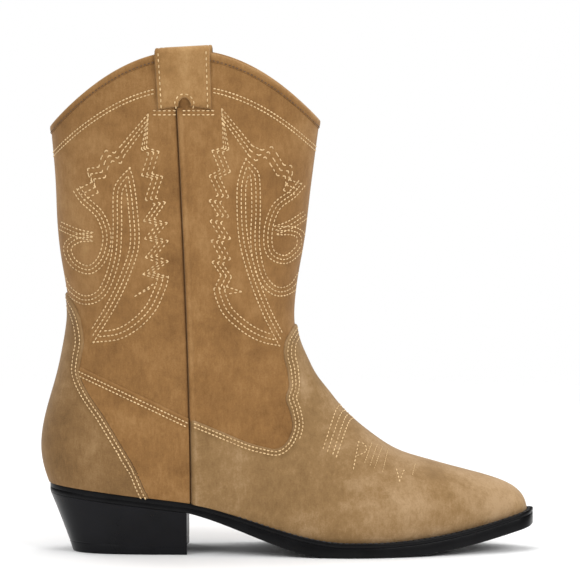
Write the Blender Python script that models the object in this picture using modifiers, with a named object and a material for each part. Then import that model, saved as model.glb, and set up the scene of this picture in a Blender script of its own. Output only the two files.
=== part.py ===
"""Right cowboy boot with a suede upper, a slanted block heel and a snip toe.

Frame: metres, +X to the toe, +Y to the inner side of the foot, +Z up.
The origin is on the floor under the middle of the heel's flat foot.
The foot and shaft are one smooth form, drawn as a fan of section lines that turns
from the level collar to the upright toe. Every other piece takes its place from it.
"""
import math

import bmesh
import bpy
import numpy as np

# Driving sizes of the last and shaft
LAST_LENGTH = 0.270
BALL_WIDTH = 0.084
SHAFT_WIDTH = 0.084
INSTEP_HEIGHT = 0.088
SHAFT_RISE = 0.1103
SCALLOP_RISE = 0.0410
HEEL_HEIGHT = 0.0393
TOE_SPRING = 0.0143
SEAT_SLOPE = 0.122

# Materials' thicknesses and fits
CLEARANCE = 0.0003
INSOLE_EASE = 0.0008
WALL = 0.0020
OVERLAY = 0.0011
WELT_THICK = 0.0026
OUTSOLE_BALL = 0.0050
OUTSOLE_WAIST = 0.0024
INSOLE_RISE = 0.0020

# Heel block
HEEL_FOOT_LENGTH = 0.0658
HEEL_FOOT_WIDTH = 0.053
HEEL_FOOT_SETBACK = 0.0119
BREAST_HOLLOW = 0.0030

# Welt and outsole edges past the upper
MARGIN_SEAT = 0.0006
MARGIN_WAIST = 0.0012
MARGIN_BALL = 0.0048
WELT_SEAT = 0.0035

# Collar, pull tabs and side seams
BINDING_DEPTH = 0.0042
BINDING_THICK = 0.0009
TAB_WIDTH = 0.0300
TAB_THICK = 0.0020
TAB_DROP = 0.0300
TAB_LOOP = 0.0014
PIPING_WIDTH = 0.0032
PIPING_HEIGHT = 0.0013
PIPING_GAP = 0.0008
SOLE_CHAMFER = 0.0010

# How curved lines turn: arch and toe of the sole, heel's back, side seam
ARCH_FALL = 1.4
WAIST_FALL = 1.9
TREAD_FALL = 0.15
TOE_CURVE = 1.9
TREAD_CURVE = 1.6
HEEL_CURVE = 1.1
SEAM_CURVE = 1.8

# Counts
ROWS_SHAFT = 10
ROWS_FOOT = 21
COLUMNS = 32
OUTLINE_POINTS = 84
STATIONS = 44
HEEL_LEVELS = 6
BREAST_POINTS = 7
TAB_COLUMNS = 6
PIPING_STATIONS = 26
OUTLINE_SAMPLES = 240
TURN_SAMPLES = 600
SEAM_SAMPLES = 1200
SHARP_ANGLE = 40
DIAGONAL = 0.7
SWELL_SHARE = 0.3

# Places along the last
HEEL_POINT = -HEEL_FOOT_LENGTH / 2 - HEEL_FOOT_SETBACK
BREAST = HEEL_FOOT_LENGTH / 2
TOE_POINT = HEEL_POINT + LAST_LENGTH
BALL_REAR = HEEL_POINT + 0.628 * LAST_LENGTH
BALL_FRONT = HEEL_POINT + 0.676 * LAST_LENGTH
TREAD_REAR = HEEL_POINT + 0.565 * LAST_LENGTH
TREAD_FRONT = HEEL_POINT + 0.735 * LAST_LENGTH
SEAM_TOP = HEEL_POINT + 0.271 * LAST_LENGTH
SEAM_FOOT = HEEL_POINT + 0.297 * LAST_LENGTH
TAB_MIDDLE = HEEL_POINT + 0.281 * LAST_LENGTH
BALL_STACK = OUTSOLE_BALL + WELT_THICK + 2 * CLEARANCE
WAIST_STACK = OUTSOLE_WAIST + WELT_THICK + 2 * CLEARANCE
OVERLAY_FACE = CLEARANCE + OVERLAY

# Foot sections, heel and ankle first. Each one is a line from the back or sole to the
# front or instep: place along the last and height over the feather line at either end,
# as shares of the last's length and the instep's height, then its outer and inner half
# widths as shares of the ball width, the place of its widest point on the line, the
# fullness of its back and front halves and its sideways shift towards the inner side.
FOOT_SECTIONS = (
    (0.037, 1.057, 0.513, 1.368, 0.423, 0.423, 0.47, 0.88, 0.90, 0.000),
    (0.022, 0.780, 0.522, 1.224, 0.398, 0.396, 0.41, 0.84, 0.90, 0.000),
    (-0.003, 0.485, 0.535, 1.136, 0.386, 0.383, 0.34, 0.82, 0.90, 0.000),
    (-0.017, 0.218, 0.547, 1.065, 0.381, 0.376, 0.29, 0.80, 0.90, 0.000),
    (0.000, 0.000, 0.557, 1.008, 0.381, 0.373, 0.27, 0.80, 0.92, 0.002),
    (0.036, -0.160, 0.570, 0.958, 0.381, 0.369, 0.29, 0.82, 0.95, 0.006),
    (0.111, -0.250, 0.589, 0.892, 0.383, 0.367, 0.32, 0.86, 0.98, 0.010),
    (0.220, -0.280, 0.613, 0.810, 0.393, 0.361, 0.35, 0.92, 1.00, 0.014),
    (0.340, -0.290, 0.644, 0.722, 0.426, 0.373, 0.37, 0.95, 1.00, 0.020),
    (0.461, -0.280, 0.682, 0.629, 0.482, 0.405, 0.41, 0.95, 1.00, 0.026),
    (0.572, -0.250, 0.730, 0.533, 0.518, 0.463, 0.45, 0.95, 1.00, 0.031),
    (0.676, -0.205, 0.787, 0.459, 0.494, 0.494, 0.475, 0.95, 1.00, 0.035),
    (0.769, -0.180, 0.851, 0.377, 0.411, 0.440, 0.50, 0.95, 1.00, 0.036),
    (0.854, -0.150, 0.909, 0.293, 0.306, 0.337, 0.53, 0.95, 1.00, 0.036),
    (0.922, -0.120, 0.954, 0.212, 0.210, 0.226, 0.55, 0.95, 1.00, 0.036),
    (0.968, -0.085, 0.982, 0.138, 0.144, 0.150, 0.55, 0.95, 1.00, 0.036),
    (0.993, -0.040, 0.9965, 0.066, 0.088, 0.090, 0.54, 0.95, 1.00, 0.036),
    (1.001, 0.009, 1.001, 0.014, 0.004, 0.004, 0.50, 0.95, 1.00, 0.036),
)
# Shaft sections above the ankle, from the collar down: heights as shares of the shaft's
# rise over the ankle and half widths as shares of the shaft's width.
SHAFT_SECTIONS = (
    (0.001, 1.000, 0.566, 1.010, 0.500, 0.500, 0.50, 0.90, 0.90, 0.000),
    (0.011, 0.664, 0.548, 0.673, 0.488, 0.488, 0.50, 0.90, 0.90, 0.000),
    (0.021, 0.332, 0.530, 0.332, 0.464, 0.464, 0.49, 0.90, 0.90, 0.000),
)

# Side outlines of the overlays, from the seam or heel top downwards: share of the
# last's length and height over the feather line at that place, a share of the instep's.
VAMP_EDGE = (
    (0.2900, 0.53), (0.3850, 0.52), (0.4500, 0.51), (0.4780, 0.52), (0.5000, 0.59),
    (0.5110, 0.69), (0.5060, 0.77), (0.4950, 0.86), (0.5070, 0.95), (0.5020, 1.06),
    (0.4940, 1.12), (0.4940, 1.22), (0.5060, 1.31), (0.5500, 1.36),
)
COUNTER_EDGE = (
    (-0.060, 1.24), (0.0300, 1.26), (0.0580, 1.11), (0.0690, 0.97), (0.0610, 0.81),
    (0.0570, 0.74), (0.0780, 0.61), (0.1130, 0.47), (0.1480, 0.31), (0.1820, 0.16),
    (0.2100, 0.01), (0.2170, -0.20),
)

SUEDE = (0.40, 0.22, 0.092)
SUEDE_PALE = (0.45, 0.28, 0.135)
SOLE_BLACK = (0.012, 0.012, 0.014)
INSOLE_TAN = (0.55, 0.40, 0.26)


def hermite(t, start, end, start_slope, end_slope):
    """Cubic between two heights with given slopes, both per unit of t."""
    return ((2 * t ** 3 - 3 * t ** 2 + 1) * start + (t ** 3 - 2 * t ** 2 + t) * start_slope
            + (3 * t ** 2 - 2 * t ** 3) * end + (t ** 3 - t ** 2) * end_slope)


def feather_height(x):
    """Height of the upper's bottom edge: sloping seat, arch, level ball, toe spring."""
    x = np.asarray(x, float)
    seat = HEEL_HEIGHT - SEAT_SLOPE * (x - HEEL_POINT)
    breast_height = HEEL_HEIGHT - SEAT_SLOPE * (BREAST - HEEL_POINT)
    span = BALL_REAR - BREAST
    arch = hermite(np.clip((x - BREAST) / span, 0, 1), breast_height, BALL_STACK,
                   -ARCH_FALL * SEAT_SLOPE * span, 0)
    rise = np.clip((x - BALL_FRONT) / (TOE_POINT - BALL_FRONT), 0, 1.3)
    toe = BALL_STACK + TOE_SPRING * rise ** TOE_CURVE
    return np.where(x < BREAST, seat, np.where(x < BALL_FRONT, arch, toe))


def tread_height(x):
    """Height of the outsole's underside, level from TREAD_REAR to TREAD_FRONT."""
    x = np.asarray(x, float)
    seat = feather_height(x) - WAIST_STACK
    span = TREAD_REAR - BREAST
    breast_height = float(feather_height(BREAST)) - WAIST_STACK
    waist = hermite(np.clip((x - BREAST) / span, 0, 1), breast_height, 0,
                    -WAIST_FALL * SEAT_SLOPE * span, -TREAD_FALL * span)
    tip = TOE_POINT + MARGIN_BALL
    rise = np.clip((x - TREAD_FRONT) / (tip - TREAD_FRONT), 0, 1.1)
    toe = TOE_SPRING * rise ** TREAD_CURVE
    return np.where(x < BREAST, seat, np.where(x < TREAD_FRONT, np.maximum(waist, 0), toe))


def section_table():
    """All sections as absolute sizes: back x, z, front x, z, half widths and shape."""
    rows = []
    for row in FOOT_SECTIONS:
        back_x, front_x = (HEEL_POINT + share * LAST_LENGTH for share in (row[0], row[2]))
        back_z = float(feather_height(back_x)) + row[1] * INSTEP_HEIGHT
        front_z = float(feather_height(front_x)) + row[3] * INSTEP_HEIGHT
        rows.append((back_x, back_z, front_x, front_z, row[4] * BALL_WIDTH,
                     row[5] * BALL_WIDTH, row[6], row[7], row[8], row[9] * BALL_WIDTH))
    ankle_back, ankle_front = rows[0][1], rows[0][3]
    shaft = []
    for row in SHAFT_SECTIONS:
        back_x, front_x = (HEEL_POINT + share * LAST_LENGTH for share in (row[0], row[2]))
        shaft.append((back_x, ankle_back + row[1] * SHAFT_RISE, front_x,
                      ankle_front + row[3] * SHAFT_RISE, row[4] * SHAFT_WIDTH,
                      row[5] * SHAFT_WIDTH, row[6], row[7], row[8], row[9]))
    return np.array(shaft + rows)


def spline_moments(knots, values):
    """Second derivatives of the natural cubic spline through the values."""
    count = len(knots)
    step = np.diff(knots)
    system = np.zeros((count, count))
    right = np.zeros(values.shape)
    system[0, 0] = system[-1, -1] = 1
    for i in range(1, count - 1):
        system[i, i - 1:i + 2] = step[i - 1], 2 * (step[i - 1] + step[i]), step[i]
        right[i] = 6 * ((values[i + 1] - values[i]) / step[i]
                        - (values[i] - values[i - 1]) / step[i - 1])
    return np.linalg.solve(system, right)


SECTIONS = section_table()
_travel = (np.linalg.norm(np.diff(SECTIONS[:, 0:2], axis=0), axis=1)
           + np.linalg.norm(np.diff(SECTIONS[:, 2:4], axis=0), axis=1))
KNOTS = np.concatenate([[0], np.cumsum(_travel)]) / np.sum(_travel)
MOMENTS = spline_moments(KNOTS, SECTIONS)
ANKLE_Q = KNOTS[len(SHAFT_SECTIONS)]


def section(q):
    """Section values at q, from 0 at the collar to 1 at the toe tip."""
    i = np.clip(np.searchsorted(KNOTS, q, side="right") - 1, 0, len(KNOTS) - 2)
    step = (KNOTS[i + 1] - KNOTS[i])[..., None]
    before = (KNOTS[i + 1] - q)[..., None] / step
    after = 1 - before
    return (before * SECTIONS[i] + after * SECTIONS[i + 1]
            + ((before ** 3 - before) * MOMENTS[i] + (after ** 3 - after) * MOMENTS[i + 1])
            * step ** 2 / 6)


def form(q, phi):
    """Outer surface of the upper: phi runs from the back or sole round the outer side."""
    q, phi = np.broadcast_arrays(np.asarray(q, float), np.asarray(phi, float))
    (back_x, back_z, front_x, front_z, outer, inner, centre, back_full, front_full,
     shift) = np.moveaxis(section(q), -1, 0)
    length = np.hypot(front_x - back_x, front_z - back_z)
    cosine, sine = np.cos(phi), np.sin(phi)
    behind = centre * length
    along = behind - np.where(cosine > 0, behind, length - behind) * cosine
    fullness = front_full + (back_full - front_full) * (0.5 + 0.5 * cosine)
    across = np.where(sine > 0, -outer, inner) * np.abs(sine) ** fullness
    fade = np.clip(1 - q / ANKLE_Q, 0, 1)
    scallop = SCALLOP_RISE * sine ** 2 * fade ** 1.5
    return np.stack([back_x + (front_x - back_x) / length * along, shift + across,
                     back_z + (front_z - back_z) / length * along + scallop], -1)


def lifted(q, phi, lift):
    """A point at a distance outside the form, along its normal."""
    q, phi = np.broadcast_arrays(np.asarray(q, float), np.asarray(phi, float))
    reach = 1e-4
    low_q, high_q = np.maximum(q - reach, 0), np.minimum(q + reach, 1)
    normal = np.cross(form(high_q, phi) - form(low_q, phi),
                      form(q, phi + reach) - form(q, phi - reach))
    size = np.linalg.norm(normal, axis=-1, keepdims=True)
    return form(q, phi) + lift * normal / np.maximum(size, 1e-15)


def bisect(test, low, high):
    """Where a rising test passes zero, for arrays of brackets."""
    for _ in range(44):
        middle = (low + high) / 2
        above = test(middle) > 0
        high = np.where(above, middle, high)
        low = np.where(above, low, middle)
    return (low + high) / 2


def over_feather(q, phi, lift=0.0):
    """How far a lifted point of the form stands over the feather line."""
    spot = lifted(q, phi, lift)
    return spot[..., 2] - feather_height(spot[..., 0])


SEAT_Q = float(bisect(lambda q: -over_feather(q, 0.0, OVERLAY_FACE), np.float64(ANKLE_Q),
                      np.float64(0.6)))


def cut_angles(q):
    """Angles where each section's overlay face meets the feather, outer and inner side."""
    q = np.asarray(q, float)
    closed = q <= SEAT_Q
    cuts = []
    for side in (1, -1):
        cut = bisect(lambda a: over_feather(q, side * a, OVERLAY_FACE), np.zeros_like(q),
                     np.full_like(q, math.pi / 2))
        cuts.append(np.where(closed, 0.0, cut))
    return cuts


def foot_rows():
    """Section places under the foot, closer where the feather line turns in plan."""
    share = 0.5 - 0.5 * np.cos(np.linspace(0, math.pi, TURN_SAMPLES))
    q = SEAT_Q + (1 - SEAT_Q) * share
    step = np.diff(form(q, cut_angles(q)[0])[:, :2], axis=0)
    turning = np.abs(np.diff(np.unwrap(np.arctan2(step[:, 1], step[:, 0]))))
    turned = np.concatenate([[0, 0], np.cumsum(turning)]) / np.sum(turning)
    travel = turned + share
    return np.interp(np.linspace(0, travel[-1], ROWS_FOOT + 1), travel, q)


def grid_rows():
    """Section places used by every mesh of the upper and its overlays."""
    return np.concatenate([np.linspace(0, SEAT_Q, ROWS_SHAFT, endpoint=False), foot_rows()])


def form_grid(lift):
    """Rows by columns of points on the form, lifted outwards.

    Every lift has the same rows and columns, so lifted surfaces keep their distance.
    """
    rows = grid_rows()
    outer, inner = cut_angles(rows)
    share = np.linspace(0, 1, COLUMNS + 1)
    angles = outer[:, None] + share[None, :] * (2 * math.pi - outer - inner)[:, None]
    return lifted(rows[:, None], angles, lift)


def resample(loop, count):
    """Evenly spaced points round a closed loop, starting at its first point."""
    closed = np.concatenate([loop, loop[:1]])
    travel = np.concatenate([[0], np.cumsum(np.linalg.norm(np.diff(closed, axis=0), axis=1))])
    places = np.linspace(0, travel[-1], count, endpoint=False)
    return np.stack([np.interp(places, travel, closed[:, k]) for k in range(2)], -1)


def edge_margin(x):
    """How far welt and outsole stand out past the feather line."""
    swell = BALL_REAR - SWELL_SHARE * (BALL_REAR - BREAST)
    return np.interp(x, (HEEL_POINT, BREAST, swell, BALL_REAR),
                     (MARGIN_SEAT, MARGIN_WAIST, 0.8 * MARGIN_BALL, MARGIN_BALL))


def feather_loop(margin, count):
    """Closed plan outline of the feather line moved outwards, from the heel's back."""
    eased = 0.5 - 0.5 * np.cos(np.linspace(0, math.pi, OUTLINE_SAMPLES))
    q = SEAT_Q + (1 - SEAT_Q) * eased
    outer, inner = cut_angles(q)
    edge = np.concatenate([form(q, outer), form(q, -inner)[-2:0:-1]])[:, :2]
    edge = resample(edge, 4 * count)
    tangent = np.roll(edge, -2, axis=0) - np.roll(edge, 2, axis=0)
    tangent /= np.linalg.norm(tangent, axis=1, keepdims=True)
    normal = np.stack([tangent[:, 1], -tangent[:, 0]], -1)
    return resample(edge + normal * margin(edge[:, 0])[:, None], count)


def plan_halves(margin):
    """Even and eased stations with the outer and inner edge at each of them."""
    loop = feather_loop(margin, 8 * OUTLINE_POINTS)
    tip = int(np.argmax(loop[:, 0]))
    outer, inner = loop[:tip + 1], np.concatenate([loop[tip:], loop[:1]])[::-1]
    turn = np.linspace(0, math.pi, STATIONS)
    share = 0.45 * turn / math.pi + 0.55 * (0.5 - 0.5 * np.cos(turn))
    start, end = loop[:, 0].min() + CLEARANCE, loop[tip, 0] - CLEARANCE
    x = start + (end - start) * share
    order_outer, order_inner = np.argsort(outer[:, 0]), np.argsort(inner[:, 0])
    return (x, np.interp(x, outer[order_outer, 0], outer[order_outer, 1]),
            np.interp(x, inner[order_inner, 0], inner[order_inner, 1]))


# Meshes


def finish(name, colour, roughness):
    """A Principled material with one colour."""
    made = bpy.data.materials.new(name)
    made.use_nodes = True
    shader = made.node_tree.nodes["Principled BSDF"]
    shader.inputs["Base Color"].default_value = (*colour, 1)
    shader.inputs["Roughness"].default_value = roughness
    return made


def place(name, points, faces, look, collection):
    """Make an object from points and faces, merge its doubles and shade it."""
    mesh = bpy.data.meshes.new(name)
    mesh.from_pydata([tuple(point) for point in points], [], faces)
    shape = bmesh.new()
    shape.from_mesh(mesh)
    bmesh.ops.remove_doubles(shape, verts=shape.verts, dist=1e-6)
    bmesh.ops.dissolve_degenerate(shape, edges=shape.edges, dist=1e-7)
    shape.to_mesh(mesh)
    shape.free()
    mesh.shade_smooth()
    mesh.set_sharp_from_angle(angle=math.radians(SHARP_ANGLE))
    if look:
        mesh.materials.append(look)
    made = bpy.data.objects.new(name, mesh)
    collection.objects.link(made)
    return made


def strip_faces(rows, columns, wrap_rows=False, wrap_columns=False):
    """Quads of a grid of points, row by row, optionally closed either way."""
    faces = []
    for r in range(rows if wrap_rows else rows - 1):
        for c in range(columns if wrap_columns else columns - 1):
            below, beside = (r + 1) % rows, (c + 1) % columns
            faces.append((r * columns + c, below * columns + c,
                          below * columns + beside, r * columns + beside))
    return faces


def form_surface(name, lift, look, collection):
    """The form's open surface: a tube at the shaft, split under the foot.

    Every lift is cut into the same triangles, so a twisted quad can't close the gap.
    """
    grid = form_grid(lift)
    grid[-1] = grid[-1].mean(axis=0)
    faces = []
    for a, b, c, d in strip_faces(*grid.shape[:2]):
        faces += [(a, b, c), (a, c, d)]
    return place(name, grid.reshape(-1, 3), faces, look, collection)


def thicken(made, thickness, offset):
    """Give an open surface its wall."""
    wall = made.modifiers.new("wall", "SOLIDIFY")
    wall.thickness = thickness
    wall.offset = offset
    wall.use_quality_normals = True


def make_upper(look, parts):
    """Foot and shaft in one hollow wall, open at the collar and underneath."""
    made = form_surface("upper", 0.0, look, parts)
    thicken(made, WALL, -1)


def edge_points(shares):
    """Side view points of an overlay's edge from its shares."""
    return [(HEEL_POINT + along * LAST_LENGTH,
             float(feather_height(HEEL_POINT + along * LAST_LENGTH)) + up * INSTEP_HEIGHT)
            for along, up in shares]


def seam_x(z):
    """Place of the side seam at a height, bowed a little forwards."""
    share = np.clip(np.asarray(z, float) / SECTIONS[0, 1], 0, None)
    return SEAM_FOOT + (SEAM_TOP - SEAM_FOOT) * share ** SEAM_CURVE


def make_cutter(name, outline, cutters):
    """A closed side outline drawn right through the boot, from side to side."""
    reach = SHAFT_WIDTH + BALL_WIDTH
    count = len(outline)
    points = [(x, y, z) for y in (-reach, reach) for x, z in outline]
    faces = [tuple(range(count)), tuple(range(2 * count - 1, count - 1, -1))]
    faces += [(k, count + k, count + (k + 1) % count, (k + 1) % count) for k in range(count)]
    made = place(name, points, faces, None, cutters)
    shape = bmesh.new()
    shape.from_mesh(made.data)
    bmesh.ops.recalc_face_normals(shape, faces=shape.faces)
    shape.to_mesh(made.data)
    shape.free()
    made.display_type = "WIRE"
    made.hide_render = True
    return made


def make_overlay(name, outline, look, parts, cutters):
    """A thin leather piece lying over the upper, cut to its side outline."""
    made = form_surface(name, CLEARANCE, look, parts)
    thicken(made, OVERLAY, 1)
    cut = made.modifiers.new("outline", "BOOLEAN")
    cut.operation = "INTERSECT"
    cut.object = make_cutter(name + "_outline", outline, cutters)


def vamp_outline():
    """Side outline of the vamp: wavy back edge, side seam, then clear of the foot."""
    past = PIPING_WIDTH + CLEARANCE
    edge = edge_points(VAMP_EDGE)
    edge[0] = (float(seam_x(edge[0][1])) + past, edge[0][1])
    ahead = TOE_POINT + BALL_WIDTH
    return [(float(seam_x(0)) + past, -WALL)] + edge + [(ahead, edge[-1][1]), (ahead, -WALL)]


def counter_outline():
    """Side outline of the heel counter, closed behind the heel."""
    edge = edge_points(COUNTER_EDGE)
    behind = HEEL_POINT - BALL_WIDTH
    return edge + [(behind, edge[-1][1]), (behind, edge[0][1])]


def make_welt(look, parts):
    """A strip all round the foot, between the upper and the outsole."""
    outer = feather_loop(edge_margin, OUTLINE_POINTS)
    inner = feather_loop(lambda x: np.full_like(x, -WELT_SEAT), OUTLINE_POINTS)
    points = []
    for out, within in zip(outer, inner):
        for (x, y), drop in ((out, WELT_THICK), (out, 0), (within, 0), (within, WELT_THICK)):
            points.append((x, y, float(feather_height(x)) - CLEARANCE - drop))
    place("welt", points, strip_faces(OUTLINE_POINTS, 4, True, True), look, parts)


def make_plate(name, margin, top, underside, chamfer, look, parts):
    """A plate under the foot from its plan outline and its two heights along the last."""
    x, outer, inner = plan_halves(margin)
    rows = []
    for place_x, low, high in zip(x, outer, inner):
        edge = min(chamfer, (high - low) / 4)
        roof, floor = float(top(place_x)), float(underside(place_x))
        rows += [(place_x, low, roof), (place_x, low, floor + chamfer),
                 (place_x, low + edge, floor), (place_x, high - edge, floor),
                 (place_x, high, floor + chamfer), (place_x, high, roof)]
    faces = strip_faces(STATIONS, 6, False, True)
    last = 6 * (STATIONS - 1)
    faces += [tuple(range(6)), tuple(range(last + 5, last - 1, -1))]
    place(name, rows, [face[::-1] for face in faces], look, parts)


def make_outsole(look, parts):
    """Full-length sole, level under the ball, arched at the waist, sprung at the toe."""
    drop = WELT_THICK + 2 * CLEARANCE
    make_plate("outsole", edge_margin, lambda x: feather_height(x) - drop, tread_height,
               SOLE_CHAMFER, look, parts)


def make_insole(look, parts):
    """Plate inside the upper, lying beside the welt on the outsole."""
    margin = WELT_SEAT + INSOLE_EASE
    drop = WELT_THICK + CLEARANCE
    make_plate("insole", lambda x: np.full_like(x, -margin),
               lambda x: feather_height(x) + INSOLE_RISE,
               lambda x: feather_height(x) - drop, SOLE_CHAMFER, look, parts)


def heel_outline():
    """Top outline of the heel: the outsole's edge up to the breast, then its hollow."""
    loop = feather_loop(edge_margin, OUTLINE_POINTS)
    seat = loop[loop[:, 0] < BREAST]
    turn = int(np.argmax(np.abs(np.diff(seat[:, 1])) > BALL_WIDTH / 4))
    seat = np.concatenate([seat[turn + 1:], seat[:turn + 1]])
    x, low, high = plan_halves(edge_margin)
    ends = np.interp(BREAST, x, high), np.interp(BREAST, x, low)
    across = np.linspace(ends[1], ends[0], BREAST_POINTS)
    middle, half = (ends[0] + ends[1]) / 2, (ends[0] - ends[1]) / 2
    hollow = BREAST - BREAST_HOLLOW * (1 - ((across - middle) / half) ** 2)
    return np.concatenate([seat, np.stack([hollow, across], -1)])


def make_heel(look, parts):
    """Block heel: upright breast, back leaning in to a smaller foot."""
    top = heel_outline()
    length, width = BREAST - top[:, 0].min(), np.ptp(top[:, 1])
    foot = np.stack([BREAST - (BREAST - top[:, 0]) * HEEL_FOOT_LENGTH / length,
                     top[:, 1] * HEEL_FOOT_WIDTH / width], -1)
    points = []
    for level in np.linspace(0, 1, HEEL_LEVELS):
        plan = foot + (top - foot) * level ** HEEL_CURVE
        roof = feather_height(top[:, 0]) - WAIST_STACK - CLEARANCE
        points += [(x, y, z * level) for (x, y), z in zip(plan, roof)]
    count = len(top)
    faces = strip_faces(HEEL_LEVELS, count, False, True)
    last = count * (HEEL_LEVELS - 1)
    faces += [tuple(range(count)), tuple(range(last + count - 1, last - 1, -1))]
    place("heel", points, [face[::-1] for face in faces], look, parts)


def collar_point(phi, depth, lift, level=0.0):
    """A point below (or over) the collar edge, level pulling it up to the peak's height."""
    step = 1e-3
    rate = np.linalg.norm(form(step, phi) - form(0.0, phi)) / step
    spot = lifted(max(depth, 0.0) / rate, phi, lift)
    peak = form(0.0, math.pi / 2)[2] - form(0.0, phi)[2]
    return spot + np.array([0, 0, max(-depth, 0.0) + level * peak])


def make_binding(look, parts):
    """Folded strip over the collar edge."""
    gap, thick = CLEARANCE, BINDING_THICK
    inside = -WALL - gap
    profile = ((BINDING_DEPTH, gap), (BINDING_DEPTH, gap + thick), (-gap, gap + thick),
               (-gap - thick, gap), (-gap - thick, inside), (-gap, inside - thick),
               (BINDING_DEPTH, inside - thick), (BINDING_DEPTH, inside), (-gap, inside),
               (-gap, gap))
    points = [collar_point(2 * math.pi * k / COLUMNS, depth, lift)
              for k in range(COLUMNS) for depth, lift in profile]
    faces = strip_faces(COLUMNS, len(profile), True, True)
    place("collar_binding", points, faces, look, parts)


def tab_profile():
    """Section of a pull tab, out along its outer face and back along its inner face."""
    over = BINDING_THICK + 2 * CLEARANCE
    wall, gap, clear = WALL, CLEARANCE, BINDING_DEPTH + BINDING_THICK
    top = BINDING_THICK + TAB_LOOP
    below = clear + 2 * TAB_THICK
    near = ((TAB_DROP, gap, 0), (below, gap, 0), (clear, over, 0), (0, over, 0.5),
            (-DIAGONAL * top, gap, 1), (-top, -wall / 2, 1),
            (-DIAGONAL * top, -wall - gap, 1), (0, -wall - over, 0.5),
            (clear, -wall - over, 0), (below, -wall - gap, 0), (TAB_DROP, -wall - gap, 0))
    far = []
    for depth, lift, level in near:
        side = 1 if lift > -wall / 2 else -1
        if depth == -top:
            far.append((depth - TAB_THICK, lift, level))
        elif depth < 0:
            reach = DIAGONAL * TAB_THICK
            far.append((depth - reach, lift + side * reach, level))
        else:
            far.append((depth, lift + side * TAB_THICK, level))
    return near + tuple(far[::-1])


def make_tab(name, side, look, parts):
    """Pull strap folded over one of the collar's two peaks."""
    profile = tab_profile()
    across = TAB_MIDDLE + TAB_WIDTH * np.linspace(-0.5, 0.5, TAB_COLUMNS)
    angles = bisect(lambda a: form(0.0, a)[..., 0] - across, np.zeros(TAB_COLUMNS),
                    np.full(TAB_COLUMNS, math.pi))
    points = [collar_point(side * angle, *spot) for angle in angles for spot in profile]
    count = len(profile)
    faces = strip_faces(TAB_COLUMNS, count, False, True)
    last = count * (TAB_COLUMNS - 1)
    faces += [tuple(range(count)), tuple(range(last + count - 1, last - 1, -1))]
    place(name, points, faces if side < 0 else [face[::-1] for face in faces], look, parts)


def seam_angle(q, side, shift):
    """Angle on the side of each section where it crosses the side seam's line."""
    def ahead(angle):
        spot = form(q, side * angle)
        return spot[..., 0] - seam_x(spot[..., 2]) - shift
    return side * bisect(ahead, np.zeros_like(q), np.full_like(q, math.pi))


def make_piping(name, side, look, parts):
    """Narrow ridge down the front of a side seam, from under the tab to the welt."""
    q = np.linspace(0, 0.9, SEAM_SAMPLES)
    middle = seam_angle(q, side, PIPING_WIDTH / 2)
    path = form(q, middle)
    travel = np.concatenate([[0], np.cumsum(np.linalg.norm(np.diff(path, axis=0), axis=1))])
    standing = path[:, 2] - feather_height(path[:, 0]) > OVERLAY
    start, end = TAB_DROP + OVERLAY, travel[standing][-1]
    places = np.interp(np.linspace(start, end, PIPING_STATIONS), travel, q)
    profile = ((0, 0), (0, 0.6), (0.25, 0.95), (0.75, 0.95), (1, 0.6), (1, 0))
    points = []
    for across, height in profile:
        angle = seam_angle(places, side, across * PIPING_WIDTH)
        points.append(lifted(places, angle, PIPING_GAP + height * PIPING_HEIGHT))
    grid = np.stack(points, axis=1)
    count = len(profile)
    faces = strip_faces(PIPING_STATIONS, count, False, True)
    last = count * (PIPING_STATIONS - 1)
    faces += [tuple(range(count)), tuple(range(last + count - 1, last - 1, -1))]
    if side < 0:
        faces = [face[::-1] for face in faces]
    place(name, grid.reshape(-1, 3), faces, look, parts)


def new_collection(name):
    """A collection linked to the scene."""
    made = bpy.data.collections.new(name)
    bpy.context.scene.collection.children.link(made)
    return made


def build():
    """Clear the scene and make every piece of the boot."""
    for old in list(bpy.data.objects):
        bpy.data.objects.remove(old)
    parts, cutters = new_collection("cowboy_boot"), new_collection("cutters")
    suede = finish("suede", SUEDE, 0.9)
    pale = finish("suede_pale", SUEDE_PALE, 0.9)
    black = finish("sole_black", SOLE_BLACK, 0.4)
    board = finish("insole_tan", INSOLE_TAN, 0.8)
    make_upper(suede, parts)
    make_outsole(black, parts)
    make_welt(black, parts)
    make_heel(black, parts)
    make_insole(board, parts)
    make_overlay("vamp", vamp_outline(), pale, parts, cutters)
    make_overlay("heel_counter", counter_outline(), pale, parts, cutters)
    make_binding(suede, parts)
    for side_name, side in (("lateral", 1), ("medial", -1)):
        make_tab("pull_tab_" + side_name, side, pale, parts)
        make_piping("side_piping_" + side_name, side, suede, parts)


build()
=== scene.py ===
"""Right cowboy boot in tan suede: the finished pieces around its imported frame.

Every leather piece is cut from one last.  The last is a fan of section lines that
turns from the level collar (q = 0) to the upright toe (q = 1), with an angle phi that
runs from the back or sole round the outer side to the front and back along the inner
side.  Sheets of leather are grids of such places, cut along lines drawn in side view.
Sizes are in metres; drawn lines are in millimetres, along X and up Z, in the frame.
"""
from __future__ import annotations

import logging
import math
from collections.abc import Callable, Iterable, Sequence
from dataclasses import dataclass, field
from enum import Enum

import bmesh
import bpy
import numpy as np
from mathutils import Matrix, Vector
from mathutils.bvhtree import BVHTree

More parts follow.
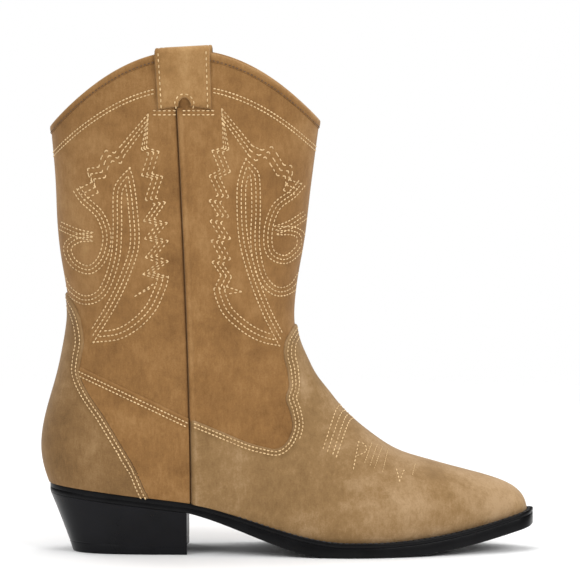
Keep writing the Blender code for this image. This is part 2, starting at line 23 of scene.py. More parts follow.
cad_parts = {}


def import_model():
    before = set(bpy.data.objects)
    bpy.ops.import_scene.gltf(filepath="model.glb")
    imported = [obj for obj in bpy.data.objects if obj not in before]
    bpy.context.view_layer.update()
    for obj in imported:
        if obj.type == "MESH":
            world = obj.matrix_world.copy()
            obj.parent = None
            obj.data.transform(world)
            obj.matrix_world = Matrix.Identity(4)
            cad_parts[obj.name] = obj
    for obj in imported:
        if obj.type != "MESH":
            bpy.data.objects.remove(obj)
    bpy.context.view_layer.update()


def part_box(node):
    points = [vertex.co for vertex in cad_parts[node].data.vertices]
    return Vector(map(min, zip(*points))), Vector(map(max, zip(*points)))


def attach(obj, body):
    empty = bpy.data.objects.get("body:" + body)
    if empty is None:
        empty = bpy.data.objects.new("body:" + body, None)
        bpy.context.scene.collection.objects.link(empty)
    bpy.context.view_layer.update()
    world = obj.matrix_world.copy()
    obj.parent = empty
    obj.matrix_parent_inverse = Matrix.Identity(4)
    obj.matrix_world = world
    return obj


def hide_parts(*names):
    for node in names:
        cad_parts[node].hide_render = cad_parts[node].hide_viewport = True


log = logging.getLogger("cowboy_boot")

MM = 0.001
BODY = "root"
Line = tuple[tuple[float, float], ...]
Colour = tuple[float, float, float]


class Side(Enum):
    """The two sides of the foot, as the sign of the angle phi."""

    LATERAL = 1
    MEDIAL = -1

    @property
    def word(self) -> str:
        """The side's name in lower case."""
        return self.name.lower()


# The last


@dataclass(frozen=True)
class LastSizes:
    """Driving sizes of the last, the shaft and the leathers on them."""

    length: float = 0.270
    ball_width: float = 0.084
    shaft_width: float = 0.084
    instep: float = 0.088
    shaft_rise: float = 0.1103
    scallop: float = 0.0410
    heel: float = 0.0393
    toe_spring: float = 0.0143
    seat_slope: float = 0.122
    heel_foot: float = 0.0658
    heel_setback: float = 0.0119
    wall: float = 0.0020
    clearance: float = 0.0003
    overlay: float = 0.0011
    welt: float = 0.0026
    outsole_ball: float = 0.0050
    outsole_waist: float = 0.0024
    margin_seat: float = 0.0006
    margin_waist: float = 0.0012
    margin_ball: float = 0.0048
    # Shares of the length: where the ball, the level tread and the side seam lie
    ball_span: tuple[float, float] = (0.628, 0.676)
    tread_span: tuple[float, float] = (0.565, 0.735)
    seam_foot: float = 0.297
    seam_top: float = 0.271
    # How the profile bends
    seam_curve: float = 1.8
    arch_fall: float = 1.4
    waist_fall: float = 1.9
    tread_fall: float = 0.15
    toe_curve: float = 1.9
    tread_curve: float = 1.6
    swell: float = 0.3


# Foot sections, heel and ankle first: place along the last and height over the feather
# line at the back or sole end and at the front end, outer and inner half widths, place of
# the widest point, fullness of the back and front halves, shift to the inner side.
FOOT_SECTIONS = (
    (0.037, 1.057, 0.513, 1.368, 0.423, 0.423, 0.47, 0.88, 0.90, 0.000),
    (0.022, 0.780, 0.522, 1.224, 0.398, 0.396, 0.41, 0.84, 0.90, 0.000),
    (-0.003, 0.485, 0.535, 1.136, 0.386, 0.383, 0.34, 0.82, 0.90, 0.000),
    (-0.017, 0.218, 0.547, 1.065, 0.381, 0.376, 0.29, 0.80, 0.90, 0.000),
    (0.000, 0.000, 0.557, 1.008, 0.381, 0.373, 0.27, 0.80, 0.92, 0.002),
    (0.036, -0.160, 0.570, 0.958, 0.381, 0.369, 0.29, 0.82, 0.95, 0.006),
    (0.111, -0.250, 0.589, 0.892, 0.383, 0.367, 0.32, 0.86, 0.98, 0.010),
    (0.220, -0.280, 0.613, 0.810, 0.393, 0.361, 0.35, 0.92, 1.00, 0.014),
    (0.340, -0.290, 0.644, 0.722, 0.426, 0.373, 0.37, 0.95, 1.00, 0.020),
    (0.461, -0.280, 0.682, 0.629, 0.482, 0.405, 0.41, 0.95, 1.00, 0.026),
    (0.572, -0.250, 0.730, 0.533, 0.518, 0.463, 0.45, 0.95, 1.00, 0.031),
    (0.676, -0.205, 0.787, 0.459, 0.494, 0.494, 0.475, 0.95, 1.00, 0.035),
    (0.769, -0.180, 0.851, 0.377, 0.411, 0.440, 0.50, 0.95, 1.00, 0.036),
    (0.854, -0.150, 0.909, 0.293, 0.306, 0.337, 0.53, 0.95, 1.00, 0.036),
    (0.922, -0.120, 0.954, 0.212, 0.210, 0.226, 0.55, 0.95, 1.00, 0.036),
    (0.968, -0.085, 0.982, 0.138, 0.144, 0.150, 0.55, 0.95, 1.00, 0.036),
    (0.993, -0.040, 0.9965, 0.066, 0.088, 0.090, 0.54, 0.95, 1.00, 0.036),
    (1.001, 0.009, 1.001, 0.014, 0.004, 0.004, 0.50, 0.95, 1.00, 0.036),
)
# Shaft sections over the ankle, collar first, heights as shares of the shaft's rise.
SHAFT_SECTIONS = (
    (0.001, 1.000, 0.566, 1.010, 0.500, 0.500, 0.50, 0.90, 0.90, 0.000),
    (0.011, 0.664, 0.548, 0.673, 0.488, 0.488, 0.50, 0.90, 0.90, 0.000),
    (0.021, 0.332, 0.530, 0.332, 0.464, 0.464, 0.49, 0.90, 0.90, 0.000),
)


def hermite(t: np.ndarray, start: float, end: float, start_slope: float,
            end_slope: float) -> np.ndarray:
    """Cubic between two heights, with the slopes at both ends given per unit of t."""
    return ((2 * t ** 3 - 3 * t ** 2 + 1) * start + (t ** 3 - 2 * t ** 2 + t) * start_slope
            + (3 * t ** 2 - 2 * t ** 3) * end + (t ** 3 - t ** 2) * end_slope)


def smooth_step(low: float, high: float, value: np.ndarray) -> np.ndarray:
    """Rise from 0 at low to 1 at high with level ends."""
    t = np.clip((np.asarray(value, float) - low) / (high - low), 0, 1)
    return t * t * (3 - 2 * t)


def bell(value: np.ndarray, middle: float, reach: float) -> np.ndarray:
    """1 at the middle, falling to about a third at the reach."""
    return np.exp(-((value - middle) / reach) ** 2)


def spline_moments(knots: np.ndarray, values: np.ndarray) -> np.ndarray:
    """Second derivatives of the natural cubic spline through values.

    Args:
        knots: Places of the values.
        values: One row of values for each knot.

    Returns:
        One row of second derivatives for each knot.
    """
    count = len(knots)
    step = np.diff(knots)
    system = np.zeros((count, count))
    right = np.zeros(values.shape)
    system[0, 0] = system[-1, -1] = 1
    for i in range(1, count - 1):
        system[i, i - 1:i + 2] = step[i - 1], 2 * (step[i - 1] + step[i]), step[i]
        right[i] = 6 * ((values[i + 1] - values[i]) / step[i]
                        - (values[i] - values[i - 1]) / step[i - 1])
    return np.linalg.solve(system, right)


def bisect(test: Callable[[np.ndarray], np.ndarray], low: np.ndarray,
           high: np.ndarray) -> np.ndarray:
    """Where a rising test passes zero.

    Args:
        test: Function of an array of places.
        low: Lower ends of the brackets.
        high: Upper ends of the brackets.

    Returns:
        The places.
    """
    for _ in range(40):
        middle = (low + high) / 2
        above = test(middle) > 0
        high = np.where(above, middle, high)
        low = np.where(above, low, middle)
    return (low + high) / 2


class Last:
    """The smooth form that every leather piece is drawn on."""

    def __init__(self, sizes: LastSizes) -> None:
        """Work out the section splines.

        Args:
            sizes: The last's driving sizes.
        """
        self.sizes = sizes
        self.heel_point = -sizes.heel_foot / 2 - sizes.heel_setback
        self.breast = sizes.heel_foot / 2
        self.toe_point = self.heel_point + sizes.length
        self.ball_rear, self.ball_front = map(self.along, sizes.ball_span)
        self.tread_rear, self.tread_front = map(self.along, sizes.tread_span)
        self.ball_stack = sizes.outsole_ball + sizes.welt + 2 * sizes.clearance
        self.waist_stack = sizes.outsole_waist + sizes.welt + 2 * sizes.clearance
        self.sections = self._section_table()
        travel = (np.linalg.norm(np.diff(self.sections[:, 0:2], axis=0), axis=1)
                  + np.linalg.norm(np.diff(self.sections[:, 2:4], axis=0), axis=1))
        self.knots = np.concatenate([[0], np.cumsum(travel)]) / np.sum(travel)
        self.moments = spline_moments(self.knots, self.sections)
        self.ankle_q = self.knots[len(SHAFT_SECTIONS)]
        face = sizes.clearance + sizes.overlay
        self.seat_q = float(bisect(lambda q: -self.over_feather(q, 0.0, face),
                                   np.float64(self.ankle_q), np.float64(0.6)))

    def along(self, share: float) -> float:
        """Place along the last from its share of the length."""
        return self.heel_point + share * self.sizes.length

    def feather(self, x: np.ndarray | float) -> np.ndarray:
        """Height of the upper's bottom edge.

        Args:
            x: Places along the boot.

        Returns:
            Heights: sloping seat, arch, level ball and toe spring.
        """
        sizes = self.sizes
        x = np.asarray(x, float)
        seat = sizes.heel - sizes.seat_slope * (x - self.heel_point)
        breast_height = sizes.heel - sizes.seat_slope * (self.breast - self.heel_point)
        span = self.ball_rear - self.breast
        arch = hermite(np.clip((x - self.breast) / span, 0, 1), breast_height,
                       self.ball_stack, -sizes.arch_fall * sizes.seat_slope * span, 0)
        rise = np.clip((x - self.ball_front) / (self.toe_point - self.ball_front), 0, 1.3)
        toe = self.ball_stack + sizes.toe_spring * rise ** sizes.toe_curve
        return np.where(x < self.breast, seat, np.where(x < self.ball_front, arch, toe))

    def tread(self, x: np.ndarray | float) -> np.ndarray:
        """Height of the outsole's underside.

        Args:
            x: Places along the boot.

        Returns:
            Heights, zero along the level tread.
        """
        sizes = self.sizes
        x = np.asarray(x, float)
        seat = self.feather(x) - self.waist_stack
        span = self.tread_rear - self.breast
        breast_height = float(self.feather(self.breast)) - self.waist_stack
        waist = hermite(np.clip((x - self.breast) / span, 0, 1), breast_height, 0,
                        -sizes.waist_fall * sizes.seat_slope * span,
                        -sizes.tread_fall * span)
        tip = self.toe_point + sizes.margin_ball
        rise = np.clip((x - self.tread_front) / (tip - self.tread_front), 0, 1.1)
        toe = sizes.toe_spring * rise ** sizes.tread_curve
        return np.where(x < self.breast, seat,
                        np.where(x < self.tread_front, np.maximum(waist, 0), toe))

    def _section_table(self) -> np.ndarray:
        """All sections as absolute sizes.

        Returns:
            One row for each section, collar first.
        """
        sizes = self.sizes
        rows = []
        for row in FOOT_SECTIONS:
            back_x, front_x = self.along(row[0]), self.along(row[2])
            rows.append((back_x, float(self.feather(back_x)) + row[1] * sizes.instep,
                         front_x, float(self.feather(front_x)) + row[3] * sizes.instep,
                         row[4] * sizes.ball_width, row[5] * sizes.ball_width,
                         row[6], row[7], row[8], row[9] * sizes.ball_width))
        ankle_back, ankle_front = rows[0][1], rows[0][3]
        shaft = [(self.along(row[0]), ankle_back + row[1] * sizes.shaft_rise,
                  self.along(row[2]), ankle_front + row[3] * sizes.shaft_rise,
                  row[4] * sizes.shaft_width, row[5] * sizes.shaft_width, *row[6:])
                 for row in SHAFT_SECTIONS]
        return np.array(shaft + rows)

    def section(self, q: np.ndarray) -> np.ndarray:
        """Section values at places from collar to toe.

        Args:
            q: The places, 0 to 1.

        Returns:
            One row of section values for each place.
        """
        last_span = len(self.knots) - 2
        i = np.clip(np.searchsorted(self.knots, q, side="right") - 1, 0, last_span)
        step = (self.knots[i + 1] - self.knots[i])[..., None]
        before = (self.knots[i + 1] - q)[..., None] / step
        after = 1 - before
        return (before * self.sections[i] + after * self.sections[i + 1]
                + ((before ** 3 - before) * self.moments[i]
                   + (after ** 3 - after) * self.moments[i + 1]) * step ** 2 / 6)

    def form(self, q: np.ndarray | float, phi: np.ndarray | float) -> np.ndarray:
        """Points of the upper's outer surface.

        Args:
            q: Places from the collar to the toe.
            phi: Angles round each section, from the back or sole.

        Returns:
            Points, one for each place and angle.
        """
        q, phi = np.broadcast_arrays(np.asarray(q, float), np.asarray(phi, float))
        (back_x, back_z, front_x, front_z, outer, inner, centre, back_full, front_full,
         shift) = np.moveaxis(self.section(q), -1, 0)
        length = np.hypot(front_x - back_x, front_z - back_z)
        cosine, sine = np.cos(phi), np.sin(phi)
        behind = centre * length
        along = behind - np.where(cosine > 0, behind, length - behind) * cosine
        fullness = front_full + (back_full - front_full) * (0.5 + 0.5 * cosine)
        across = np.where(sine > 0, -outer, inner) * np.abs(sine) ** fullness
        fade = np.clip(1 - q / self.ankle_q, 0, 1)
        scallop = self.sizes.scallop * sine ** 2 * fade ** 1.5
        return np.stack([back_x + (front_x - back_x) / length * along, shift + across,
                         back_z + (front_z - back_z) / length * along + scallop], -1)

    def normal(self, q: np.ndarray | float, phi: np.ndarray | float) -> np.ndarray:
        """Outward unit normals of the form.

        Args:
            q: Places from the collar to the toe.
            phi: Angles round each section.

        Returns:
            Unit vectors.
        """
        q, phi = np.broadcast_arrays(np.asarray(q, float), np.asarray(phi, float))
        reach = 1e-4
        low, high = np.maximum(q - reach, 0), np.minimum(q + reach, 1)
        found = np.cross(self.form(high, phi) - self.form(low, phi),
                         self.form(q, phi + reach) - self.form(q, phi - reach))
        return found / np.maximum(np.linalg.norm(found, axis=-1, keepdims=True), 1e-15)

    def lifted(self, q: np.ndarray | float, phi: np.ndarray | float,
               lift: np.ndarray | float) -> np.ndarray:
        """Points at a distance outside the form."""
        return self.form(q, phi) + np.asarray(lift)[..., None] * self.normal(q, phi)

    def over_feather(self, q: np.ndarray, phi: np.ndarray | float,
                     lift: float) -> np.ndarray:
        """How far lifted points stand over the feather line."""
        spot = self.lifted(q, phi, lift)
        return spot[..., 2] - self.feather(spot[..., 0])

    def cut_angles(self, q: np.ndarray) -> list[np.ndarray]:
        """Where each section's overlay face meets the feather line.

        Args:
            q: Places from the collar to the toe.

        Returns:
            Angles on the outer and on the inner side, zero where the section is closed.
        """
        face = self.sizes.clearance + self.sizes.overlay
        cuts = []
        for sign in (1, -1):
            cut = bisect(lambda a: self.over_feather(q, sign * a, face),
                         np.zeros_like(q), np.full_like(q, math.pi / 2))
            cuts.append(np.where(q <= self.seat_q, 0.0, cut))
        return cuts

    def foot_rows(self, count: int) -> np.ndarray:
        """Section places under the foot, closer where the feather line turns.

        Args:
            count: How many steps to make.

        Returns:
            The places, from the seat to the toe.
        """
        share = 0.5 - 0.5 * np.cos(np.linspace(0, math.pi, 600))
        q = self.seat_q + (1 - self.seat_q) * share
        step = np.diff(self.form(q, self.cut_angles(q)[0])[:, :2], axis=0)
        turning = np.abs(np.diff(np.unwrap(np.arctan2(step[:, 1], step[:, 0]))))
        turned = np.concatenate([[0, 0], np.cumsum(turning)]) / np.sum(turning)
        travel = turned + 2 * share
        return np.interp(np.linspace(0, travel[-1], count + 1), travel, q)

    def edge_margin(self, x: np.ndarray) -> np.ndarray:
        """How far welt and outsole stand out past the feather line.

        Args:
            x: Places along the boot.

        Returns:
            The margin at each place.
        """
        sizes = self.sizes
        swell = self.ball_rear - sizes.swell * (self.ball_rear - self.breast)
        return np.interp(x, (self.heel_point, self.breast, swell, self.ball_rear),
                         (sizes.margin_seat, sizes.margin_waist, 0.8 * sizes.margin_ball,
                          sizes.margin_ball))

    def feather_loop(self, margin: Callable[[np.ndarray], np.ndarray],
                     count: int) -> np.ndarray:
        """Closed plan outline of the feather line, moved outwards.

        Args:
            margin: How far out, for places along the boot.
            count: How many points.

        Returns:
            Plan points from the heel's back round the outer side.
        """
        eased = 0.5 - 0.5 * np.cos(np.linspace(0, math.pi, 240))
        q = self.seat_q + (1 - self.seat_q) * eased
        outer, inner = self.cut_angles(q)
        edge = np.concatenate([self.form(q, outer), self.form(q, -inner)[-2:0:-1]])[:, :2]
        edge = resample(edge, 4 * count, closed=True)
        tangent = np.roll(edge, -2, axis=0) - np.roll(edge, 2, axis=0)
        tangent /= np.linalg.norm(tangent, axis=1, keepdims=True)
        normal = np.stack([tangent[:, 1], -tangent[:, 0]], -1)
        return resample(edge + normal * margin(edge[:, 0])[:, None], count, closed=True)

    def seam_x(self, z: np.ndarray | float) -> np.ndarray:
        """Place of the side seam at a height, bowed a little forwards.

        Args:
            z: Heights.

        Returns:
            Places along the boot.
        """
        sizes = self.sizes
        share = np.clip(np.asarray(z, float) / self.sections[0, 1], 0, 1.2)
        foot, top = self.along(sizes.seam_foot), self.along(sizes.seam_top)
        return foot + (top - foot) * share ** sizes.seam_curve


# Lines


def travelled(path: np.ndarray) -> np.ndarray:
    """Distance along a line at each of its points."""
    return np.concatenate([[0], np.cumsum(np.linalg.norm(np.diff(path, axis=0), axis=1))])


def stretches(held: np.ndarray) -> list[slice]:
    """The unbroken stretches of true values."""
    breaks = np.flatnonzero(np.diff(np.concatenate([[0], held.astype(int), [0]])))
    return [slice(a, b) for a, b in zip(breaks[::2], breaks[1::2])]


def resample(line: np.ndarray, count: int, closed: bool = False) -> np.ndarray:
    """Evenly spaced points along a line.

    Args:
        line: Points of the line.
        count: How many points to give.
        closed: Whether the line closes on itself.

    Returns:
        The points, without a repeated end on a closed line.
    """
    path = np.concatenate([line, line[:1]]) if closed else line
    travel = travelled(path)
    places = np.linspace(0, travel[-1], count, endpoint=not closed)
    return np.stack([np.interp(places, travel, path[:, k]) for k in range(path.shape[1])], -1)


def smoothed(points: Sequence[Sequence[float]], step: float) -> np.ndarray:
    """A flowing curve through given points.

    Args:
        points: The points it passes through.
        step: Spacing of the result.

    Returns:
        Evenly spaced points.
    """
    points = np.asarray(points, float)
    padded = np.concatenate([2 * points[:1] - points[1:2], points,
                             2 * points[-1:] - points[-2:-1]])
    t = np.linspace(0, 1, 16, endpoint=False)[:, None]
    parts = []
    for a, b, c, d in zip(padded, padded[1:], padded[2:], padded[3:]):
        parts.append(0.5 * (2 * b + (c - a) * t + (2 * a - 5 * b + 4 * c - d) * t ** 2
                            + (3 * b - a - 3 * c + d) * t ** 3))
    dense = np.concatenate([*parts, points[-1:]])
    length = np.linalg.norm(np.diff(dense, axis=0), axis=1).sum()
    return resample(dense, max(2, round(length / step) + 1))


def beside(line: np.ndarray, distance: float) -> np.ndarray:
    """A line moved sideways, to the left of its direction.

    Args:
        line: Points of a flowing line in a plane.
        distance: How far to move it.

    Returns:
        The moved points.
    """
    tangent = np.gradient(line, axis=0)
    tangent /= np.maximum(np.linalg.norm(tangent, axis=1, keepdims=True), 1e-12)
    return line + distance * np.stack([-tangent[:, 1], tangent[:, 0]], -1)


def distance_to(line: np.ndarray, spots: np.ndarray) -> tuple[np.ndarray, np.ndarray]:
    """Distance from spots to a line of straight pieces.

    Args:
        line: Points of the line in a plane.
        spots: Points in the same plane.

    Returns:
        Distances, and how far along the line the nearest places are, from 0 to 1.
    """
    best = np.full(len(spots), np.inf)
    place = np.zeros(len(spots))
    lengths = np.linalg.norm(np.diff(line, axis=0), axis=1)
    travelled, total = 0.0, lengths.sum()
    for start, end, length in zip(line, line[1:], lengths):
        way = (end - start) / max(length, 1e-12)
        t = np.clip((spots - start) @ way, 0, length)
        found = np.linalg.norm(spots - start - t[:, None] * way, axis=1)
        nearer = found < best
        best = np.where(nearer, found, best)
        place = np.where(nearer, (travelled + t) / total, place)
        travelled += length
    return best, place


def inside(polygon: np.ndarray, spots: np.ndarray) -> np.ndarray:
    """Which spots a closed outline holds.

    Args:
        polygon: Points of the outline.
        spots: Points in the same plane.

    Returns:
        True for each spot inside.
    """
    held = np.zeros(len(spots), bool)
    x, z = spots.T
    for (ax, az), (bx, bz) in zip(polygon, np.roll(polygon, -1, axis=0)):
        if az == bz:
            continue
        crosses = (az > z) != (bz > z)
        held ^= crosses & (x < ax + (z - az) * (bx - ax) / (bz - az))
    return held


@dataclass(frozen=True)
class Edge:
    """A cut edge of a leather piece in side view, and what closes its outline."""

    line: np.ndarray
    closing: Line

    def signed(self, spots: np.ndarray) -> np.ndarray:
        """Distance from the cut edge, positive on the piece.

        Args:
            spots: Points of the boot.

        Returns:
            Signed distances.
        """
        flat = spots[:, [0, 2]]
        away, _ = distance_to(self.line, flat)
        outline = np.concatenate([self.line, np.array(self.closing) * MM])
        return np.where(inside(outline, flat), away, -away)


# Creases and wear


@dataclass(frozen=True)
class Crease:
    """A soft trough (or ridge, where its depth is negative) drawn in side view."""

    points: Line
    width: float
    depth: float
    sides: tuple[Side, ...] = (Side.LATERAL, Side.MEDIAL)


CREASES = (
    Crease(((56, 116), (72, 112), (88, 116), (97, 124)), 6.0, 0.7),
    Crease(((50, 97), (70, 96), (88, 103), (99, 113)), 7.0, 0.6),
    Crease(((100, 108), (97, 96), (103, 85)), 5.0, 0.8),
    Crease(((93, 100), (91, 88), (95, 76)), 5.0, -0.5),
    Crease(((118, 50), (126, 44), (136, 38)), 5.5, -0.5),
    Crease(((110, 46), (120, 37), (130, 31)), 6.0, 0.5),
    Crease(((128, 56), (140, 46), (150, 34)), 6.5, 0.4),
    Crease(((-34, 140), (-24, 134), (-8, 133), (8, 138)), 7.0, 0.8),
    Crease(((-30, 119), (-18, 116), (-2, 119)), 7.0, 0.5),
    Crease(((-6, 116), (6, 108), (22, 104)), 8.0, 0.5),
    Crease(((8, 236), (6, 190), (10, 150)), 9.0, 0.5),
    Crease(((60, 250), (57, 200), (60, 160), (58, 130)), 9.0, 0.4),
    Crease(((88, 236), (96, 226), (103, 214)), 6.0, 0.6, (Side.LATERAL,)),
    Crease(((-12, 250), (-20, 236), (-24, 222)), 7.0, 0.5, (Side.LATERAL,)),
    Crease(((-18, 84), (-14, 70), (-16, 52)), 8.0, 0.3, (Side.LATERAL,)),
)


class Relief:
    """How far worn suede stands off the last: creases, slack and the side seam."""

    slack_everywhere, slack_ankle = 0.12, 0.30
    ankle_band = (125, 45)
    # Height of the front panel's turned edge over the last, by distance past the seam
    seam_places = np.array([-2.4, -1.2, -0.5, 0.0, 0.25, 3.4, 4.2, 6.0, 8.5, 11.0]) * MM
    seam_heights = np.array([0.0, -0.05, -0.5, -1.1, -0.3, 0.62, 0.40, 0.14, 0.03, 0.0]) * MM

    def __init__(self, last: Last, creases: Iterable[Crease]) -> None:
        """Keep the last that the creases lie on, and the creases as even lines."""
        self.last = last
        self.creases = [(crease, smoothed(crease.points, 2.0) * MM) for crease in creases]

    def height(self, spots: np.ndarray) -> np.ndarray:
        """Height of the suede over the last.

        Args:
            spots: Points on the last.

        Returns:
            Heights.
        """
        flat = spots[:, [0, 2]]
        sides = np.where(spots[:, 1] < 0, Side.LATERAL.value, Side.MEDIAL.value)
        total = self.slack(spots)
        for crease, line in self.creases:
            near = np.isin(sides, [side.value for side in crease.sides])
            away, place = distance_to(line, flat[near])
            fade = np.sin(np.clip(place, 0.02, 0.98) * math.pi) ** 0.7
            total[near] -= crease.depth * MM * fade * bell(away, 0, crease.width * MM)
        return total

    def slack(self, spots: np.ndarray) -> np.ndarray:
        """Slow waves of loose leather, strongest at the ankle.

        Args:
            spots: Points on the last.

        Returns:
            Heights.
        """
        x, y, z = (spots / MM).T
        waves = (np.sin(0.083 * x + 0.051 * z + 1.3) * np.sin(0.067 * z - 0.04 * x + 0.5)
                 + 0.6 * np.sin(0.15 * z + 0.09 * y + 0.6) * np.sin(0.11 * x + 2.1))
        loose = self.slack_everywhere + self.slack_ankle * bell(z, *self.ankle_band)
        return waves * loose * MM

    def seam(self, spots: np.ndarray) -> np.ndarray:
        """Height of the shaft beside the side seams, none on the front and back."""
        return np.interp(self.past_seam(spots), self.seam_places, self.seam_heights)

    def past_seam(self, spots: np.ndarray) -> np.ndarray:
        """Distance in front of the side seam."""
        return spots[:, 0] - self.last.seam_x(spots[:, 2])


# Leather sheets


class Sheet:
    """A sheet on the last: places (q, phi), polygons and fields that lines are cut by."""

    snap = 0.04 * MM

    def __init__(self, last: Last, rows_shaft: int = 112, rows_foot: int = 92,
                 columns: int = 164) -> None:
        """Lay a grid over the whole last, down to the feather line.

        Args:
            last: The last.
            rows_shaft: Steps from the collar to the seat.
            rows_foot: Steps from the seat to the toe.
            columns: Steps round each row.
        """
        self.last = last
        rows = np.concatenate([np.linspace(0, last.seat_q, rows_shaft, endpoint=False),
                               last.foot_rows(rows_foot)])
        outer, inner = last.cut_angles(rows)
        share = np.linspace(0, 1, columns + 1)
        phi = outer[:, None] + share[None, :] * (2 * math.pi - outer - inner)[:, None]
        q = np.broadcast_to(rows[:, None], phi.shape)
        self.places = np.stack([q.ravel(), phi.ravel()], -1)
        self.faces = grid_faces(len(rows), columns + 1)
        self.fields: dict[str, np.ndarray] = {}

    def spots(self) -> np.ndarray:
        """The sheet's points on the bare last."""
        return self.last.form(self.places[:, 0], self.places[:, 1])

    def measure(self, name: str, values: np.ndarray) -> None:
        """Store a field of one value for each vertex."""
        self.fields[name] = np.array(values, float)

    def cut(self, name: str, level: float) -> list[np.ndarray]:
        """Cut every polygon along the line where a field has a value.

        Args:
            name: The field.
            level: The value.

        Returns:
            The line's vertices, one array for each unbroken stretch.
        """
        values = self.fields[name]
        near = np.abs(values - level) < self.snap
        values[near] = level
        state = np.where(near, 0, np.sign(values - level)).astype(int).tolist()
        made: dict[tuple[int, int], int] = {}
        faces, joined = [], set()
        total = len(values)
        for face in self.faces:
            signs = [state[v] for v in face]
            ring = list(face)
            if 1 in signs and -1 in signs:
                ring = []
                for a, b in zip(face, face[1:] + face[:1]):
                    ring.append(a)
                    if state[a] * state[b] < 0:
                        key = (a, b) if a < b else (b, a)
                        if key not in made:
                            made[key] = total + len(made)
                            state.append(0)
                        ring.append(made[key])
            zeros = [k for k, v in enumerate(ring) if state[v] == 0]
            if len(zeros) == 2 and 1 in signs and -1 in signs:
                i, j = zeros
                faces += [tuple(ring[i:j + 1]), tuple(ring[j:] + ring[:i + 1])]
                joined.add((min(ring[i], ring[j]), max(ring[i], ring[j])))
                continue
            faces.append(tuple(ring))
            for a, b in zip(ring, ring[1:] + ring[:1]):
                if state[a] == 0 and state[b] == 0:
                    joined.add((min(a, b), max(a, b)))
        self.faces = faces
        if made:
            ends = np.array(list(made))
            share = ((level - values[ends[:, 0]])
                     / (values[ends[:, 1]] - values[ends[:, 0]]))[:, None]
            self.places = np.concatenate(
                [self.places, self.places[ends[:, 0]] * (1 - share)
                 + self.places[ends[:, 1]] * share])
            for key, old in self.fields.items():
                between = old[ends[:, 0]] * (1 - share[:, 0]) + old[ends[:, 1]] * share[:, 0]
                self.fields[key] = np.concatenate([old, between])
            self.fields[name][total:] = level
        return chains(joined)

    def keep(self, name: str, level: float, above: bool = True) -> None:
        """Drop the polygons on one side of a line that has been cut.

        Args:
            name: The field.
            level: The line's value.
            above: Whether the side with higher values stays.
        """
        values = self.fields[name] if above else -self.fields[name]
        least = (level if above else -level) - self.snap / 2
        fits = (values >= least).tolist()
        self.faces = [face for face in self.faces if all(fits[v] for v in face)]
        used = np.unique([v for face in self.faces for v in face])
        order = np.zeros(len(values), int)
        order[used] = np.arange(len(used))
        order = order.tolist()
        self.faces = [tuple(order[v] for v in face) for face in self.faces]
        self.places = self.places[used]
        self.fields = {key: old[used] for key, old in self.fields.items()}

    def shell(self, top: np.ndarray, bottom: np.ndarray) -> tuple[np.ndarray, list]:
        """Close the sheet into a solid between two heights over the last.

        Args:
            top: Height of the outer face at each vertex.
            bottom: Height of the inner face at each vertex.

        Returns:
            Points and faces of the solid.
        """
        q, phi = self.places.T
        count = len(q)
        points = np.concatenate([self.last.lifted(q, phi, top),
                                 self.last.lifted(q, phi, bottom)])
        edges: dict[tuple[int, int], tuple[int, int]] = {}
        for face in self.faces:
            for a, b in zip(face, face[1:] + face[:1]):
                if (b, a) in edges:
                    del edges[(b, a)]
                else:
                    edges[(a, b)] = (a, b)
        joint = (phi < 1e-9) | (phi > 2 * math.pi - 1e-9)
        rim = [(b, a, a + count, b + count) for a, b in edges if not (joint[a] and joint[b])]
        under = [tuple(v + count for v in face[::-1]) for face in self.faces]
        return points, self.faces + under + rim


def grid_faces(rows: int, columns: int, wrap_rows: bool = False,
               wrap_columns: bool = False) -> list[tuple[int, ...]]:
    """Quads of a grid of points, row by row.

    Args:
        rows: How many rows.
        columns: How many points in a row.
        wrap_rows: Whether the last row joins the first.
        wrap_columns: Whether each row closes on itself.

    Returns:
        The faces.
    """
    faces = []
    for r in range(rows if wrap_rows else rows - 1):
        for c in range(columns if wrap_columns else columns - 1):
            below, next_to = (r + 1) % rows, (c + 1) % columns
            faces.append((r * columns + c, below * columns + c,
                          below * columns + next_to, r * columns + next_to))
    return faces


def chains(joined: Iterable[tuple[int, int]]) -> list[np.ndarray]:
    """Put loose edges in order.

    Args:
        joined: Pairs of vertices.

    Returns:
        One array of vertices for each unbroken line.
    """
    links: dict[int, list[int]] = {}
    for a, b in sorted(joined):
        links.setdefault(a, []).append(b)
        links.setdefault(b, []).append(a)
    lines, seen = [], set()
    ends = [v for v, near in links.items() if len(near) == 1]
    for start in ends + list(links):
        if start in seen:
            continue
        line, here = [start], start
        seen.add(start)
        while True:
            onward = [v for v in links[here] if v not in seen]
            if not onward:
                break
            here = onward[0]
            seen.add(here)
            line.append(here)
        if len(line) > 2:
            lines.append(np.array(line))
    return lines


# Finishes


class Value:
    """A number in a shader; Python arithmetic on it adds Math nodes."""

    def __init__(self, recipe: "Recipe", socket: bpy.types.NodeSocket) -> None:
        """Wrap a socket of a recipe's tree."""
        self.recipe, self.socket = recipe, socket

    def _math(self, operation: str, first: object, second: object) -> "Value":
        """A Math node on two numbers.

        Args:
            operation: The node's operation.
            first: Its first number.
            second: Its second number.

        Returns:
            The result.
        """
        made = self.recipe.node("ShaderNodeMath", {"operation": operation},
                                {0: first, 1: second})
        return Value(self.recipe, made.outputs[0])

    def __add__(self, other: object) -> "Value":
        """Sum."""
        return self._math("ADD", self, other)

    def __radd__(self, other: object) -> "Value":
        """Sum, with the number first."""
        return self._math("ADD", other, self)

    def __sub__(self, other: object) -> "Value":
        """Difference."""
        return self._math("SUBTRACT", self, other)

    def __rsub__(self, other: object) -> "Value":
        """Difference, with the number first."""
        return self._math("SUBTRACT", other, self)

    def __mul__(self, other: object) -> "Value":
        """Product."""
        return self._math("MULTIPLY", self, other)

    def __rmul__(self, other: object) -> "Value":
        """Product, with the number first."""
        return self._math("MULTIPLY", other, self)


